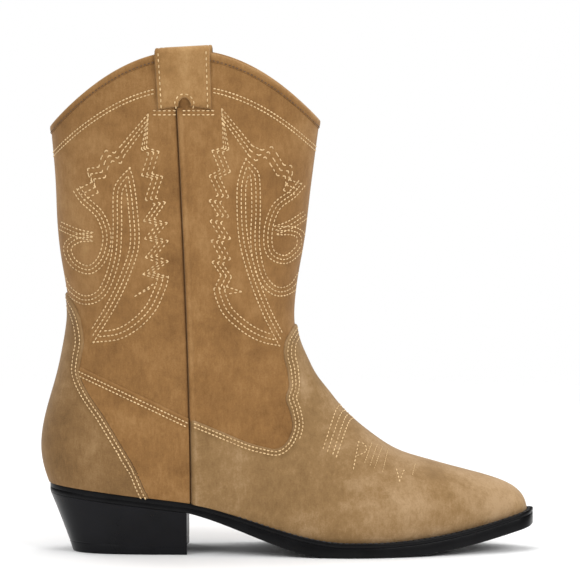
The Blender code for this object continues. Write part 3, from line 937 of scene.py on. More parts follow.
class Recipe:
    """A material being put together around its Principled shader."""

    def __init__(self, name: str) -> None:
        """Start a material.

        Args:
            name: The finish's name.
        """
        self.material = bpy.data.materials.new(name)
        self.material.use_nodes = True
        self.tree = self.material.node_tree
        self.shader = self.tree.nodes["Principled BSDF"]

    def node(self, kind: str, settings: dict | None = None,
             inputs: dict | None = None) -> bpy.types.Node:
        """Add a node.

        Args:
            kind: The node's type.
            settings: Its own settings; stops are a ramp's places and colours.
            inputs: Values or links of its sockets, by name or number.

        Returns:
            The node.
        """
        made = self.tree.nodes.new(kind)
        for key, setting in (settings or {}).items():
            if key == "stops":
                ramp = made.color_ramp
                while len(ramp.elements) < len(setting):
                    ramp.elements.new(0.5)
                for element, (position, colour) in zip(ramp.elements, setting):
                    element.position = position
                    element.color = (*colour, 1)
            else:
                setattr(made, key, setting)
        for key, source in (inputs or {}).items():
            self.feed(made.inputs[key], source)
        return made

    def feed(self, socket: bpy.types.NodeSocket, source: object) -> None:
        """Link a source to a socket, or set its value.

        Args:
            socket: The socket.
            source: A Value, another socket or a plain value.
        """
        source = source.socket if isinstance(source, Value) else source
        if isinstance(source, bpy.types.NodeSocket):
            self.tree.links.new(source, socket)
        else:
            socket.default_value = source

    def places(self, stretch: tuple[float, float, float] | None = None
               ) -> bpy.types.NodeSocket:
        """Object coordinates, stretched where asked.

        Args:
            stretch: Scale along each axis.

        Returns:
            The vector socket.
        """
        found = self.node("ShaderNodeTexCoord").outputs["Object"]
        if stretch is None:
            return found
        return self.node("ShaderNodeMapping", {}, {"Vector": found,
                                                   "Scale": stretch}).outputs[0]

    def noise(self, where: bpy.types.NodeSocket, size: float, detail: float = 2.0,
              rough: float = 0.5) -> Value:
        """Noise about zero.

        Args:
            where: The coordinates.
            size: Size of its spots.
            detail: Octaves of detail.
            rough: Strength of the detail.

        Returns:
            Values from about -0.5 to 0.5.
        """
        made = self.node("ShaderNodeTexNoise", {},
                         {"Vector": where, "Scale": 1 / size, "Detail": detail,
                          "Roughness": rough})
        return Value(self, made.outputs[0]) - 0.5

    def attribute(self, name: str) -> Value:
        """A number stored on the mesh."""
        made = self.node("ShaderNodeAttribute", {"attribute_name": name})
        return Value(self, made.outputs["Fac"])

    def ramp(self, level: Value, *stops: tuple[float, Colour]) -> bpy.types.NodeSocket:
        """Colours by level, from pairs of place and colour."""
        return self.node("ShaderNodeValToRGB", {"stops": stops}, {0: level}).outputs[0]

    def bump(self, height: Value, distance: float, strength: float) -> None:
        """Give the shader a relief.

        Args:
            height: The relief.
            distance: Its depth.
            strength: How much of it shows.
        """
        made = self.node("ShaderNodeBump", {}, {"Height": height, "Distance": distance,
                                                "Strength": strength})
        self.feed(self.shader.inputs["Normal"], made.outputs[0])

    def set(self, **sockets: object) -> None:
        """Feed the shader's sockets, named with underscores for spaces."""
        for name, source in sockets.items():
            self.feed(self.shader.inputs[name.replace("_", " ")], source)


@dataclass(frozen=True)
class Suede:
    """Brushed nap: clouds of lighter and darker pile over a fine fibrous grain."""

    name: str
    dark: Colour
    base: Colour
    pale: Colour
    clouds: float = 0.9
    nap: float = 0.9 * MM
    sheen: float = 0.14

    def make(self) -> bpy.types.Material:
        """Build the material.

        Returns:
            The material.
        """
        recipe = Recipe(self.name)
        where = recipe.places()
        clouds = recipe.noise(where, 34 * MM, 3, 0.55)
        spots = recipe.noise(where, 7 * MM, 3, 0.6)
        fibres = recipe.noise(recipe.places((1.0, 1.0, 0.32)), 1.7 * MM, 3, 0.65)
        nap = recipe.noise(where, self.nap, 3, 0.7)
        # The tone attribute carries the nap's blotches and rubbing, and on several pieces
        # painted shade and highlight too.
        tone = recipe.attribute("tone")
        level = (clouds * self.clouds + spots * 0.55 + fibres * 0.42 + nap * 0.5
                 + tone * 0.5 + 0.5)
        dyed = recipe.ramp(level, (0.12, self.dark), (0.5, self.base), (0.9, self.pale))
        recipe.set(Base_Color=dyed, Roughness=0.9 + spots * 0.12,
                   Sheen_Weight=self.sheen, Sheen_Roughness=0.45,
                   Sheen_Tint=(1.0, 0.86, 0.68, 1.0), Specular_IOR_Level=0.18)
        recipe.bump(nap * 0.6 + fibres * 0.7 + spots * 0.5, 0.35 * MM, 0.55)
        return recipe.material


@dataclass(frozen=True)
class Blacking:
    """Black edge dressing or lacquer over leather or board."""

    name: str
    colour: Colour
    roughness: float
    coat: float
    grain: float = 0.35 * MM

    def make(self) -> bpy.types.Material:
        """Build the material.

        Returns:
            The material.
        """
        recipe = Recipe(self.name)
        where = recipe.places()
        clouds = recipe.noise(where, 16 * MM, 2)
        grain = recipe.noise(where, self.grain, 3, 0.6)
        layers = recipe.noise(recipe.places((0.15, 0.15, 1.0)), 0.9 * MM, 2)
        dressed = recipe.ramp(clouds + grain * 0.5 + 0.5,
                              (0.3, tuple(0.75 * c for c in self.colour)),
                              (0.7, tuple(1.4 * c for c in self.colour)))
        recipe.set(Base_Color=dressed,
                   Roughness=clouds * 0.16 + grain * 0.1 + self.roughness,
                   Coat_Weight=self.coat, Coat_Roughness=0.2, Specular_IOR_Level=0.10)
        recipe.bump(grain * 0.5 + layers * 0.4, 0.06 * MM, 0.35)
        return recipe.material


@dataclass(frozen=True)
class Thread:
    """Waxed twisted thread."""

    name: str
    dark: Colour
    light: Colour

    def make(self) -> bpy.types.Material:
        """Build the material.

        Returns:
            The material.
        """
        recipe = Recipe(self.name)
        worn = recipe.noise(recipe.places(), 6 * MM, 2)
        ply = recipe.noise(recipe.places(), 0.3 * MM, 1)
        dyed = recipe.ramp(worn * 0.9 + ply * 0.7 + 0.5, (0.25, self.dark),
                           (0.65, self.light))
        recipe.set(Base_Color=dyed, Roughness=0.55 + ply * 0.2)
        recipe.bump(ply, 0.08 * MM, 0.4)
        return recipe.material


@dataclass(frozen=True)
class SmoothLeather:
    """Natural lining or sock leather with a fine pebble."""

    name: str
    dark: Colour
    light: Colour
    pebble: float = 1.1 * MM

    def make(self) -> bpy.types.Material:
        """Build the material.

        Returns:
            The material.
        """
        recipe = Recipe(self.name)
        where = recipe.places()
        clouds = recipe.noise(where, 30 * MM, 3)
        cells = recipe.node("ShaderNodeTexVoronoi", {}, {"Vector": where,
                                                         "Scale": 1 / self.pebble})
        pores = Value(recipe, cells.outputs["Distance"])
        tanned = recipe.ramp(clouds + 0.5, (0.3, self.dark), (0.7, self.light))
        recipe.set(Base_Color=tanned, Roughness=0.62 + clouds * 0.2)
        recipe.bump(pores, 0.12 * MM, 0.35)
        return recipe.material


SHAFT_SUEDE = Suede("shaft_suede", (0.136, 0.064, 0.0190), (0.214, 0.108, 0.0355),
                    (0.300, 0.170, 0.0680))
FOOT_SUEDE = Suede("foot_suede", (0.138, 0.076, 0.0275), (0.213, 0.126, 0.0520),
                   (0.325, 0.215, 0.1150), clouds=0.8)
HEEL_SUEDE = Suede("heel_suede", (0.116, 0.062, 0.0225), (0.180, 0.100, 0.0385),
                   (0.260, 0.160, 0.0730), clouds=0.9)
TAB_SUEDE = Suede("tab_suede", (0.160, 0.082, 0.0260), (0.252, 0.135, 0.0480),
                  (0.345, 0.205, 0.0860))
SOLE_BLACK = Blacking("sole_blacking", (0.0032, 0.0032, 0.0036), 0.36, 0.02)
HEEL_BLACK = Blacking("heel_lacquer", (0.0034, 0.0034, 0.0044), 0.30, 0.05)
CREAM_THREAD = Thread("cream_thread", (0.40, 0.25, 0.110), (0.68, 0.48, 0.250))
TAN_THREAD = Thread("tan_thread", (0.045, 0.022, 0.009), (0.11, 0.055, 0.022))
BLACK_THREAD = Thread("black_thread", (0.012, 0.012, 0.014), (0.05, 0.05, 0.055))
LINING = SmoothLeather("lining_leather", (0.40, 0.27, 0.15), (0.56, 0.41, 0.26))
SOCK = SmoothLeather("sock_leather", (0.33, 0.20, 0.10), (0.46, 0.30, 0.17))


@dataclass(frozen=True)
class Patch:
    """A lighter or darker place on the suede, in side view, lighter above zero: most are rubbed
    or blotched nap, some are painted shade and highlight.
    """

    x: float
    z: float
    across: float
    up: float
    tone: float
    sides: tuple[Side, ...] = (Side.LATERAL, Side.MEDIAL)


PATCHES = (
    Patch(190, 38, 14, 7, 0.34),
    Patch(207, 25, 12, 9, 0.42),
    Patch(170, 44, 9, 5, -0.34, (Side.LATERAL,)),
    Patch(176, 34, 7, 6, -0.42, (Side.LATERAL,)),
    Patch(164, 30, 12, 6, 0.30, (Side.LATERAL,)),
    Patch(128, 42, 14, 4, 0.30),
    # Painted shade and highlight over the instep's folds: darker in the trough, lighter beside
    # it.
    Patch(106, 106, 6, 12, -0.45),
    Patch(98, 96, 5, 14, 0.35),
    Patch(126, 74, 10, 6, -0.25),
    Patch(58, 58, 9, 4, 0.18),
    Patch(96, 30, 22, 8, -0.18),
    Patch(-34, 62, 9, 22, -0.25),
    Patch(-20, 44, 16, 10, 0.22),
    Patch(8, 72, 10, 9, 0.28),
    Patch(-2, 60, 9, 12, -0.18),
    Patch(4, 110, 28, 18, -0.30),
    Patch(-26, 190, 9, 46, 0.28),
    Patch(34, 110, 30, 12, 0.12),
    Patch(66, 100, 18, 16, 0.18),
    Patch(56, 230, 8, 34, 0.20),
    Patch(44, 170, 6, 60, 0.26),
    Patch(26, 170, 7, 70, -0.30),
    Patch(100, 238, 6, 6, 0.35),
    # Painted shade: a dark spot in the notch under the pull tab.
    Patch(31, 254.5, 3.8, 3.4, -1.3),
)


def nap_and_painted_light_tone(spots: np.ndarray) -> np.ndarray:
    """How light the suede is drawn at each spot: blotched and rubbed nap, with painted shade
    and highlight from some patches.

    Args:
        spots: Points of the boot.

    Returns:
        Tones about zero.
    """
    x, y, z = spots.T / MM
    sides = np.where(y < 0, Side.LATERAL.value, Side.MEDIAL.value)
    total = 0.42 * smooth_step(70, 190, x) - 0.10 * smooth_step(20, 50, x)
    for patch in PATCHES:
        on_side = np.isin(sides, [side.value for side in patch.sides])
        away = ((x - patch.x) / patch.across) ** 2 + ((z - patch.z) / patch.up) ** 2
        total += patch.tone * np.exp(-away) * on_side
    return total


# Meshes and pieces


def make_object(name: str, points: np.ndarray, faces: Sequence[tuple[int, ...]],
                material: bpy.types.Material, sharp: float, turn: bool,
                marks: dict[str, np.ndarray]) -> bpy.types.Object:
    """Make a mesh object from points and faces.

    Args:
        name: The piece's name.
        points: Its vertices.
        faces: Its polygons.
        material: Its finish.
        sharp: Angle in degrees past which an edge stays crisp.
        turn: Whether to work out the outward side afresh.
        marks: Numbers to store on the vertices.

    Returns:
        The object.
    """
    mesh = bpy.data.meshes.new(name)
    mesh.from_pydata(points.tolist(), [], list(faces))
    for key, values in marks.items():
        mesh.attributes.new(key, "FLOAT", "POINT").data.foreach_set("value", values)
    shape = bmesh.new()
    shape.from_mesh(mesh)
    bmesh.ops.remove_doubles(shape, verts=shape.verts, dist=2e-6)
    bmesh.ops.dissolve_degenerate(shape, edges=shape.edges, dist=1e-7)
    if turn:
        bmesh.ops.recalc_face_normals(shape, faces=shape.faces)
    shape.to_mesh(mesh)
    shape.free()
    mesh.shade_smooth()
    mesh.set_sharp_from_angle(angle=math.radians(sharp))
    mesh.materials.append(material)
    made = bpy.data.objects.new(name, mesh)
    bpy.context.scene.collection.objects.link(made)
    return made


def hand_over(piece: bpy.types.Object, slot: str, *nodes: str) -> None:
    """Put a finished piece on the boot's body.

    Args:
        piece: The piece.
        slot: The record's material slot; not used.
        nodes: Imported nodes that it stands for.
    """
    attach(piece, BODY)
    if nodes:
        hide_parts(*nodes)
    log.info("%s: %d faces", piece.name, len(piece.data.polygons))


def tube(rings: np.ndarray, closed: bool = False) -> tuple[np.ndarray, list]:
    """A skin over rings of points.

    Args:
        rings: Rings by points by coordinates.
        closed: Whether the last ring joins the first; the ends are capped otherwise.

    Returns:
        Points and faces.
    """
    count, around = rings.shape[:2]
    faces = grid_faces(count, around, closed, True)
    if not closed:
        end = around * (count - 1)
        faces += [tuple(range(around - 1, -1, -1)), tuple(range(end, end + around))]
    return rings.reshape(-1, 3), faces


class Caster:
    """Drops drawn lines onto the outside of finished pieces, straight in from the side."""

    # Where a line starts, how far past the middle it may land, how edge-on the leather is
    far_out, past_middle, edge_on = 0.3, 0.004, 0.12

    def __init__(self, *pieces: bpy.types.Object) -> None:
        """Index the pieces' faces.

        Args:
            pieces: Mesh objects whose meshes hold their places.
        """
        points, faces = [], []
        for piece in pieces:
            start = len(points)
            points += [v.co.copy() for v in piece.data.vertices]
            faces += [[start + v for v in p.vertices] for p in piece.data.polygons]
        self.tree = BVHTree.FromPolygons(points, faces)

    def drop(self, line: np.ndarray, side: Side, lift: float
             ) -> list[tuple[np.ndarray, np.ndarray]]:
        """Find a drawn line's path on the pieces.

        Args:
            line: Points along X and up Z.
            side: Which side of the boot.
            lift: Height of the path over the leather.

        Returns:
            Paths and their normals, one pair for each unbroken stretch.
        """
        inward = Vector((0, side.value, 0))
        runs, path, normals = [], [], []
        for x, z in line:
            start = Vector((x, -self.far_out * side.value, z))
            spot, normal, _, _ = self.tree.ray_cast(start, inward)
            outside = spot is not None and abs(normal.y) > self.edge_on and (
                spot.y * side.value < self.past_middle)
            if outside:
                if normal.dot(inward) > 0:
                    normal = -normal
                path.append(np.array(spot + normal * lift))
                normals.append(np.array(normal))
            elif len(path) > 2:
                runs.append((np.array(path), np.array(normals)))
            if not outside:
                path, normals = [], []
        if len(path) > 2:
            runs.append((np.array(path), np.array(normals)))
        return runs


Path = tuple[np.ndarray, np.ndarray]


@dataclass(frozen=True)
class StitchSizes:
    """Pitch and body of one kind of stitch."""

    pitch: float = 2.2 * MM
    length: float = 1.85 * MM
    width: float = 0.84 * MM
    height: float = 0.50 * MM
    sway: float = 0.10


class StitchSetter:
    """Geometry Nodes that lay a thread body at every pitch of a path."""

    inputs = ("Pitch", "Length", "Width", "Height", "Sway", "Seed")

    def __init__(self) -> None:
        """Build the node tree once for every row of stitches."""
        self.tree = bpy.data.node_groups.new("stitch_rows", "GeometryNodeTree")
        face = self.tree.interface
        face.new_socket("Geometry", in_out="INPUT", socket_type="NodeSocketGeometry")
        self.sockets = {}
        for name in self.inputs:
            kind = "NodeSocketInt" if name == "Seed" else "NodeSocketFloat"
            self.sockets[name] = face.new_socket(name, in_out="INPUT",
                                                 socket_type=kind).identifier
        self.sockets["Thread"] = face.new_socket(
            "Thread", in_out="INPUT", socket_type="NodeSocketMaterial").identifier
        face.new_socket("Geometry", in_out="OUTPUT", socket_type="NodeSocketGeometry")
        given = self.node("NodeGroupInput")
        curve = self.node("GeometryNodeMeshToCurve", links={0: given.outputs["Geometry"]})
        rows = self.node("GeometryNodeResampleCurve", {"mode": "LENGTH"},
                         {"Curve": curve.outputs[0], "Length": given.outputs["Pitch"]})
        sway = self.node("FunctionNodeRandomValue", {"data_type": "FLOAT_VECTOR"},
                         {0: (-1.0, -1.0, -1.0), 1: (1.0, 1.0, 1.0),
                          "Seed": given.outputs["Seed"]})
        swing = self.node("ShaderNodeVectorMath", {"operation": "SCALE"},
                          {0: sway.outputs[0], "Scale": given.outputs["Sway"]})
        tangent = self.node("GeometryNodeInputTangent")
        way = self.node("ShaderNodeVectorMath", {"operation": "ADD"},
                        {0: tangent.outputs[0], 1: swing.outputs[0]})
        lie = self.node("GeometryNodeInputNamedAttribute", {"data_type": "FLOAT_VECTOR"},
                        {"Name": "lie"})
        upright = self.node("FunctionNodeAlignRotationToVector", {"axis": "Z"},
                            {"Vector": lie.outputs[0]})
        aligned = self.node("FunctionNodeAlignRotationToVector",
                            {"axis": "X", "pivot_axis": "Z"},
                            {"Rotation": upright.outputs[0], "Vector": way.outputs[0]})
        body = self.node("GeometryNodeMeshUVSphere", {},
                         {"Segments": 6, "Rings": 4, "Radius": 0.5})
        smooth = self.node("GeometryNodeSetShadeSmooth", {}, {0: body.outputs[0]})
        size = self.node("ShaderNodeCombineXYZ", {},
                         {0: given.outputs["Length"], 1: given.outputs["Width"],
                          2: given.outputs["Height"]})
        set_down = self.node("GeometryNodeInstanceOnPoints", {},
                             {"Points": rows.outputs[0], "Instance": smooth.outputs[0],
                              "Rotation": aligned.outputs[0], "Scale": size.outputs[0]})
        real = self.node("GeometryNodeRealizeInstances", {}, {0: set_down.outputs[0]})
        dyed = self.node("GeometryNodeSetMaterial", {},
                         {"Geometry": real.outputs[0], "Material": given.outputs["Thread"]})
        self.node("NodeGroupOutput", links={0: dyed.outputs[0]})

    def node(self, kind: str, settings: dict | None = None,
             links: dict | None = None) -> bpy.types.Node:
        """Add a node to the tree.

        Args:
            kind: The node's type.
            settings: Its own settings.
            links: Values or links of its sockets.

        Returns:
            The node.
        """
        made = self.tree.nodes.new(kind)
        for key, setting in (settings or {}).items():
            setattr(made, key, setting)
        for key, source in (links or {}).items():
            if isinstance(source, bpy.types.NodeSocket):
                self.tree.links.new(source, made.inputs[key])
            else:
                made.inputs[key].default_value = source
        return made

    def sew(self, name: str, paths: Iterable[Path], sizes: StitchSizes,
            thread: bpy.types.Material, seed: int) -> bpy.types.Object:
        """Lay stitches along paths.

        Args:
            name: The piece's name.
            paths: Points and normals of each unbroken row.
            sizes: The stitch.
            thread: Its finish.
            seed: Seed of its small turns.

        Returns:
            One mesh object of all the stitches.
        """
        points, lie, edges = [], [], []
        for path, normals in paths:
            start = len(points)
            points += path.tolist()
            lie += normals.tolist()
            edges += [(start + k, start + k + 1) for k in range(len(path) - 1)]
        mesh = bpy.data.meshes.new(name + "_path")
        mesh.from_pydata(points, edges, [])
        mesh.attributes.new("lie", "FLOAT_VECTOR", "POINT").data.foreach_set(
            "vector", np.ravel(lie))
        made = bpy.data.objects.new(name, mesh)
        bpy.context.scene.collection.objects.link(made)
        rows = made.modifiers.new("stitches", "NODES")
        rows.node_group = self.tree
        values = (sizes.pitch, sizes.length, sizes.width, sizes.height, sizes.sway, seed)
        for key, value in zip(self.inputs, values):
            rows[self.sockets[key]] = value
        rows[self.sockets["Thread"]] = thread
        evaluated = made.evaluated_get(bpy.context.evaluated_depsgraph_get())
        sewn = bpy.data.meshes.new_from_object(evaluated)
        made.modifiers.clear()
        made.data = sewn
        return made


@dataclass
class Workshop:
    """What every sub-assembly works with."""

    last: Last
    relief: Relief
    stitches: StitchSetter
    finishes: dict[str, bpy.types.Material] = field(default_factory=dict)

    def finish(self, recipe: Suede | Blacking | Thread | SmoothLeather
               ) -> bpy.types.Material:
        """A finish's material, made once.

        Args:
            recipe: The finish.

        Returns:
            Its material.
        """
        if recipe.name not in self.finishes:
            self.finishes[recipe.name] = recipe.make()
        return self.finishes[recipe.name]

    def make(self, name: str, slot: str, shape: tuple[np.ndarray, list],
             recipe: Suede | Blacking | SmoothLeather, *nodes: str, sharp: float = 50.0,
             turn: bool = True, tone: np.ndarray | None = None) -> bpy.types.Object:
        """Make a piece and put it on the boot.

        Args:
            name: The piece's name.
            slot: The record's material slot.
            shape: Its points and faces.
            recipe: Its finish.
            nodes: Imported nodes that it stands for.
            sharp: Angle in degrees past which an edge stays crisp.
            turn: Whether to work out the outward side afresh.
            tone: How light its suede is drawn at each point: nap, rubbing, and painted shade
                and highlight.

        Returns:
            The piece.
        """
        marks = {} if tone is None else {"tone": tone}
        piece = make_object(name, *shape, self.finish(recipe), sharp, turn, marks)
        hand_over(piece, slot, *nodes)
        return piece

    def sew(self, name: str, slot: str, paths: Iterable[Path], seed: int,
            sizes: StitchSizes = StitchSizes(), thread: Thread = CREAM_THREAD) -> None:
        """Sew rows and put them on the boot.

        Args:
            name: The piece's name.
            slot: The record's material slot.
            paths: Points and normals of each unbroken row.
            seed: Seed of the stitches' small turns.
            sizes: The stitch.
            thread: Its finish.
        """
        hand_over(self.stitches.sew(name, paths, sizes, self.finish(thread), seed), slot)


# Sub-assemblies

LEATHER_CRISP = 45.0
STRIP_CRISP = 60.0
HEEL_CRISP = 32.0


@dataclass
class Shaft:
    """The shaft and foot in one hollow of suede, with its lining."""

    shop: Workshop
    leather: float = 1.25 * MM
    lining: float = 0.70 * MM
    gap: float = 0.05 * MM
    piece: bpy.types.Object | None = None

    def build(self) -> None:
        """Make the suede hollow and its lining."""
        last, relief = self.shop.last, self.shop.relief
        sheet = Sheet(last)
        sheet.measure("seam", relief.past_seam(sheet.spots()))
        for level in relief.seam_places[:6]:
            sheet.cut("seam", float(level))
        spots = sheet.spots()
        worn = relief.height(spots)
        tone = np.tile(nap_and_painted_light_tone(spots) + self.seam_shade(spots), 2)
        self.piece = self.shop.make(
            "upper_shaft", "suede_shaft",
            sheet.shell(worn + relief.seam(spots), worn - self.leather), SHAFT_SUEDE,
            "upper", sharp=LEATHER_CRISP, turn=False, tone=tone)
        inner = Sheet(last, 60, 44, 84)
        worn = relief.height(inner.spots()) - self.leather - self.gap
        self.shop.make("shaft_lining", "insole_board",
                       inner.shell(worn, worn - self.lining), LINING,
                       sharp=LEATHER_CRISP, turn=False)

    def seam_shade(self, spots: np.ndarray) -> np.ndarray:
        """Painted shade in the seam's fold and just behind it, as darker tones."""
        past = self.shop.relief.past_seam(spots) / MM
        return -0.9 * bell(past, -0.1, 0.9)


@dataclass
class Overlay:
    """A leather piece lying over the shaft, cut to an edge and sewn along it."""

    shop: Workshop
    name: str
    edge: Edge
    profile: Line
    rows: tuple[float, ...]
    suede: Suede
    rise: float
    nodes: tuple[str, ...] = ()
    limits: dict[str, tuple[Callable[[np.ndarray], np.ndarray], float]] = field(
        default_factory=dict)
    row_holds: Callable[[np.ndarray, float], np.ndarray] | None = None
    fold: Line = ((-1.0, 1.0), (1.0, 1.0))
    under: float = 0.03 * MM
    seed: int = 1
    # Lighter tone at the cut edge, partly rubbed suede and partly a painted highlight on the
    # raised edge; sunk is painted shade over the band of stitch rows.
    edge_rub_and_highlight: float = 0.35
    edge_rub_and_highlight_reach: float = 0.9
    sunk: float = 0.3
    row_band: tuple[float, float] = (3.2, 2.6)

    def build(self) -> bpy.types.Object:
        """Make the piece and its stitches.

        Returns:
            The leather piece.
        """
        last, relief = self.shop.last, self.shop.relief
        sheet = Sheet(last)
        for name, (measure, level) in self.limits.items():
            sheet.measure(name, measure(sheet.spots()))
            sheet.cut(name, level)
            sheet.keep(name, level)
        sheet.measure("seam", relief.past_seam(sheet.spots()))
        for place, _ in self.fold[1:-1]:
            sheet.cut("seam", place * MM)
        sheet.measure("edge", self.edge.signed(sheet.spots()))
        sheet.cut("edge", 0.0)
        sheet.keep("edge", 0.0)
        lines = {}
        for distance, _ in self.profile[1:]:
            found = sheet.cut("edge", distance * MM)
            if distance in self.rows:
                lines[distance] = found
        spots = sheet.spots()
        worn = relief.height(spots) + relief.seam(spots) * (relief.past_seam(spots) > 0)
        places, heights = np.array(self.profile).T
        away = sheet.fields["edge"]
        rise = self.rise * np.interp(away / MM, places, heights) * np.interp(
            relief.past_seam(spots) / MM, *np.array(self.fold).T)
        points, faces = sheet.shell(worn + rise, worn + self.under)
        # Tone: the nap, the edge's rub with a painted highlight, painted shade over the stitch
        # rows and the fold by the seam.
        tone = np.tile(nap_and_painted_light_tone(spots) + self.edge_rub_and_highlight * bell(away / MM, 0, self.edge_rub_and_highlight_reach)
                       - self.sunk * bell(away / MM, *self.row_band)
                       + self.fold_rub_and_painted_light(relief.past_seam(spots) / MM), 2)
        piece = self.shop.make(self.name, "suede_overlay", (points, faces), self.suede,
                               *self.nodes, sharp=LEATHER_CRISP, turn=False, tone=tone)
        paths = []
        normals = last.normal(*sheet.places.T)
        for distance, found in lines.items():
            for line in found:
                paths += self.runs(points[line] + 0.1 * MM * normals[line], normals[line],
                                   distance)
        self.shop.sew(self.name + "_stitches", "suede_overlay", paths, self.seed)
        return piece

    def fold_rub_and_painted_light(self, past: np.ndarray) -> np.ndarray:
        """Lighter tone on the fold's crest beside the side seam, partly rubbed nap and partly a
        painted highlight, with painted shade in the seam's groove.

        Args:
            past: Distances in front of the seam, in millimetres.

        Returns:
            Tones.
        """
        if len(self.fold) < 3:
            return np.zeros_like(past)
        return 0.42 * bell(past, 3.2, 1.0) - 0.5 * bell(past, 0, 0.9)

    def runs(self, path: np.ndarray, normals: np.ndarray, distance: float) -> list[Path]:
        """The stretches of a row that are sewn.

        Args:
            path: The row's points.
            normals: Their normals.
            distance: The row's distance from the edge, in millimetres.

        Returns:
            Paths and their normals.
        """
        sewn = np.ones(len(path), bool) if self.row_holds is None else (
            self.row_holds(path, distance))
        return [(path[part], normals[part]) for part in stretches(sewn)
                if part.stop - part.start > 3]


VAMP_LINE = ((22, 82.6), (38.5, 76.0), (49, 71.6), (59.5, 67.0), (69, 63.2), (77.5, 61.0),
             (84.0, 60.0), (89.4, 64.0), (92.6, 72.0), (91.2, 80.0), (88.6, 88.0), (90.6, 95.0),
             (90.0, 104.0), (88.3, 111.0), (88.6, 119.5), (91.6, 125.5), (95.5, 130.5),
             (103, 136))
COUNTER_LINE = ((-60, 149), (-48, 149), (-37.5, 148.6), (-31.5, 141.5), (-27.0, 131.5),
                (-25.2, 121.0), (-27.2, 110.0), (-27.6, 102.0), (-22.5, 91.5),
                (-13.5, 78.5), (-4.5, 63.5), (4.0, 49.0), (9.0, 37.5), (15.0, 26.0),
                (20, 12))
QUARTER_LINE = ((-42, 112), (-27, 106.0), (-10, 98.8), (12.5, 88.3), (24, 82.6), (48, 71))


def drawn_edge(line: Line, *closing: tuple[float, float]) -> Edge:
    """A cut edge flowing through given points, and the corners that close it."""
    return Edge(smoothed(line, 1.0) * MM, closing)


@dataclass
class SidePiping:
    """The front panel's turned edge, a rounded strip down each side seam."""

    shop: Workshop
    side: Side
    top: float = 253 * MM
    foot: float = 72 * MM
    sink: float = 2.0
    stations: int = 150
    section: Line = ((0.05, -0.95), (0.12, 0.2), (0.4, 0.78), (1.0, 1.18), (1.8, 1.34),
                     (2.6, 1.18), (3.3, 0.80), (4.0, 0.38), (3.9, 0.0), (0.6, -0.5))

    def build(self) -> bpy.types.Object:
        """Sweep the strip's section down the seam.

        Returns:
            The strip.
        """
        last, relief, sign = self.shop.last, self.shop.relief, self.side.value
        q = np.linspace(0, 0.92, 700)

        def angle(places: np.ndarray, past: float) -> np.ndarray:
            """Angle where each section meets a line beside the seam.

            Args:
                places: Places from the collar to the toe.
                past: How far in front of the seam the line lies.

            Returns:
                The angles.
            """
            def ahead(a: np.ndarray) -> np.ndarray:
                """How far in front of that line a point lies."""
                spot = last.form(places, sign * a)
                return spot[..., 0] - last.seam_x(spot[..., 2]) - past
            return sign * bisect(ahead, np.zeros_like(places),
                                 np.full_like(places, math.pi))

        path = last.form(q, angle(q, 1.5 * MM))
        held = (path[:, 2] < self.top) & (path[:, 2] > self.foot)
        travel = travelled(path)
        places = np.interp(np.linspace(travel[held][0], travel[held][-1], self.stations),
                           travel, q)
        sunk = self.sink * (1 - smooth_step(self.foot, self.foot + 6 * MM, np.interp(
            places, q, path[:, 2])))
        rings = []
        for past, height in self.section:
            phi = angle(places, past * MM)
            worn = relief.height(last.form(places, phi))
            rings.append(last.lifted(places, phi, worn + (height - sunk) * MM))
        rings = np.stack(rings, axis=1)
        points, faces = tube(rings)
        past = np.tile([past for past, _ in self.section], self.stations)
        # Lighter along the turned edge's crest, partly rubbed nap and partly a painted
        # highlight; painted shade on the part tucked into the seam's groove.
        tone = nap_and_painted_light_tone(points) + 0.32 * bell(past, 2.2, 0.9) - 0.8 * (past < 0.3)
        name = "side_piping_" + self.side.word
        return self.shop.make(name, "suede_overlay", (points, faces), SHAFT_SUEDE, name,
                              sharp=STRIP_CRISP, tone=tone)


class Collar:
    """Places on and over the collar's edge."""

    def __init__(self, shop: Workshop) -> None:
        """Keep the workshop."""
        self.last, self.relief = shop.last, shop.relief

    def spots(self, phi: np.ndarray, depth: np.ndarray, lift: np.ndarray,
              level: np.ndarray | float = 0.0) -> np.ndarray:
        """Points below or over the collar's edge.

        Args:
            phi: Angles round the collar.
            depth: Distances down from the edge; over it where negative.
            lift: Distances outside the worn suede.
            level: Shares by which the points are pulled up to the peak's height.

        Returns:
            The points.
        """
        phi, depth, lift, level = np.broadcast_arrays(phi, depth, lift, level)
        step = 1e-3
        rate = np.linalg.norm(self.last.form(step, phi) - self.last.form(0.0, phi),
                              axis=-1) / step
        q = np.maximum(depth, 0) / rate
        on_form = self.last.form(q, phi)
        worn = self.relief.height(on_form.reshape(-1, 3)).reshape(phi.shape)
        points = self.last.lifted(q, phi, lift + worn)
        peak = (self.last.form(0.0, math.pi / 2)[2]
                - self.last.form(np.zeros_like(phi), phi)[..., 2])
        points[..., 2] += np.maximum(-depth, 0) + level * peak
        return points

    def angles(self, x: np.ndarray, side: Side) -> np.ndarray:
        """Angles round the collar at places along the boot.

        Args:
            x: The places.
            side: Which side of the boot.

        Returns:
            The angles.
        """
        x = np.asarray(x, float)
        return side.value * bisect(lambda a: self.last.form(0.0, a)[..., 0] - x,
                                   np.zeros_like(x), np.full_like(x, math.pi))


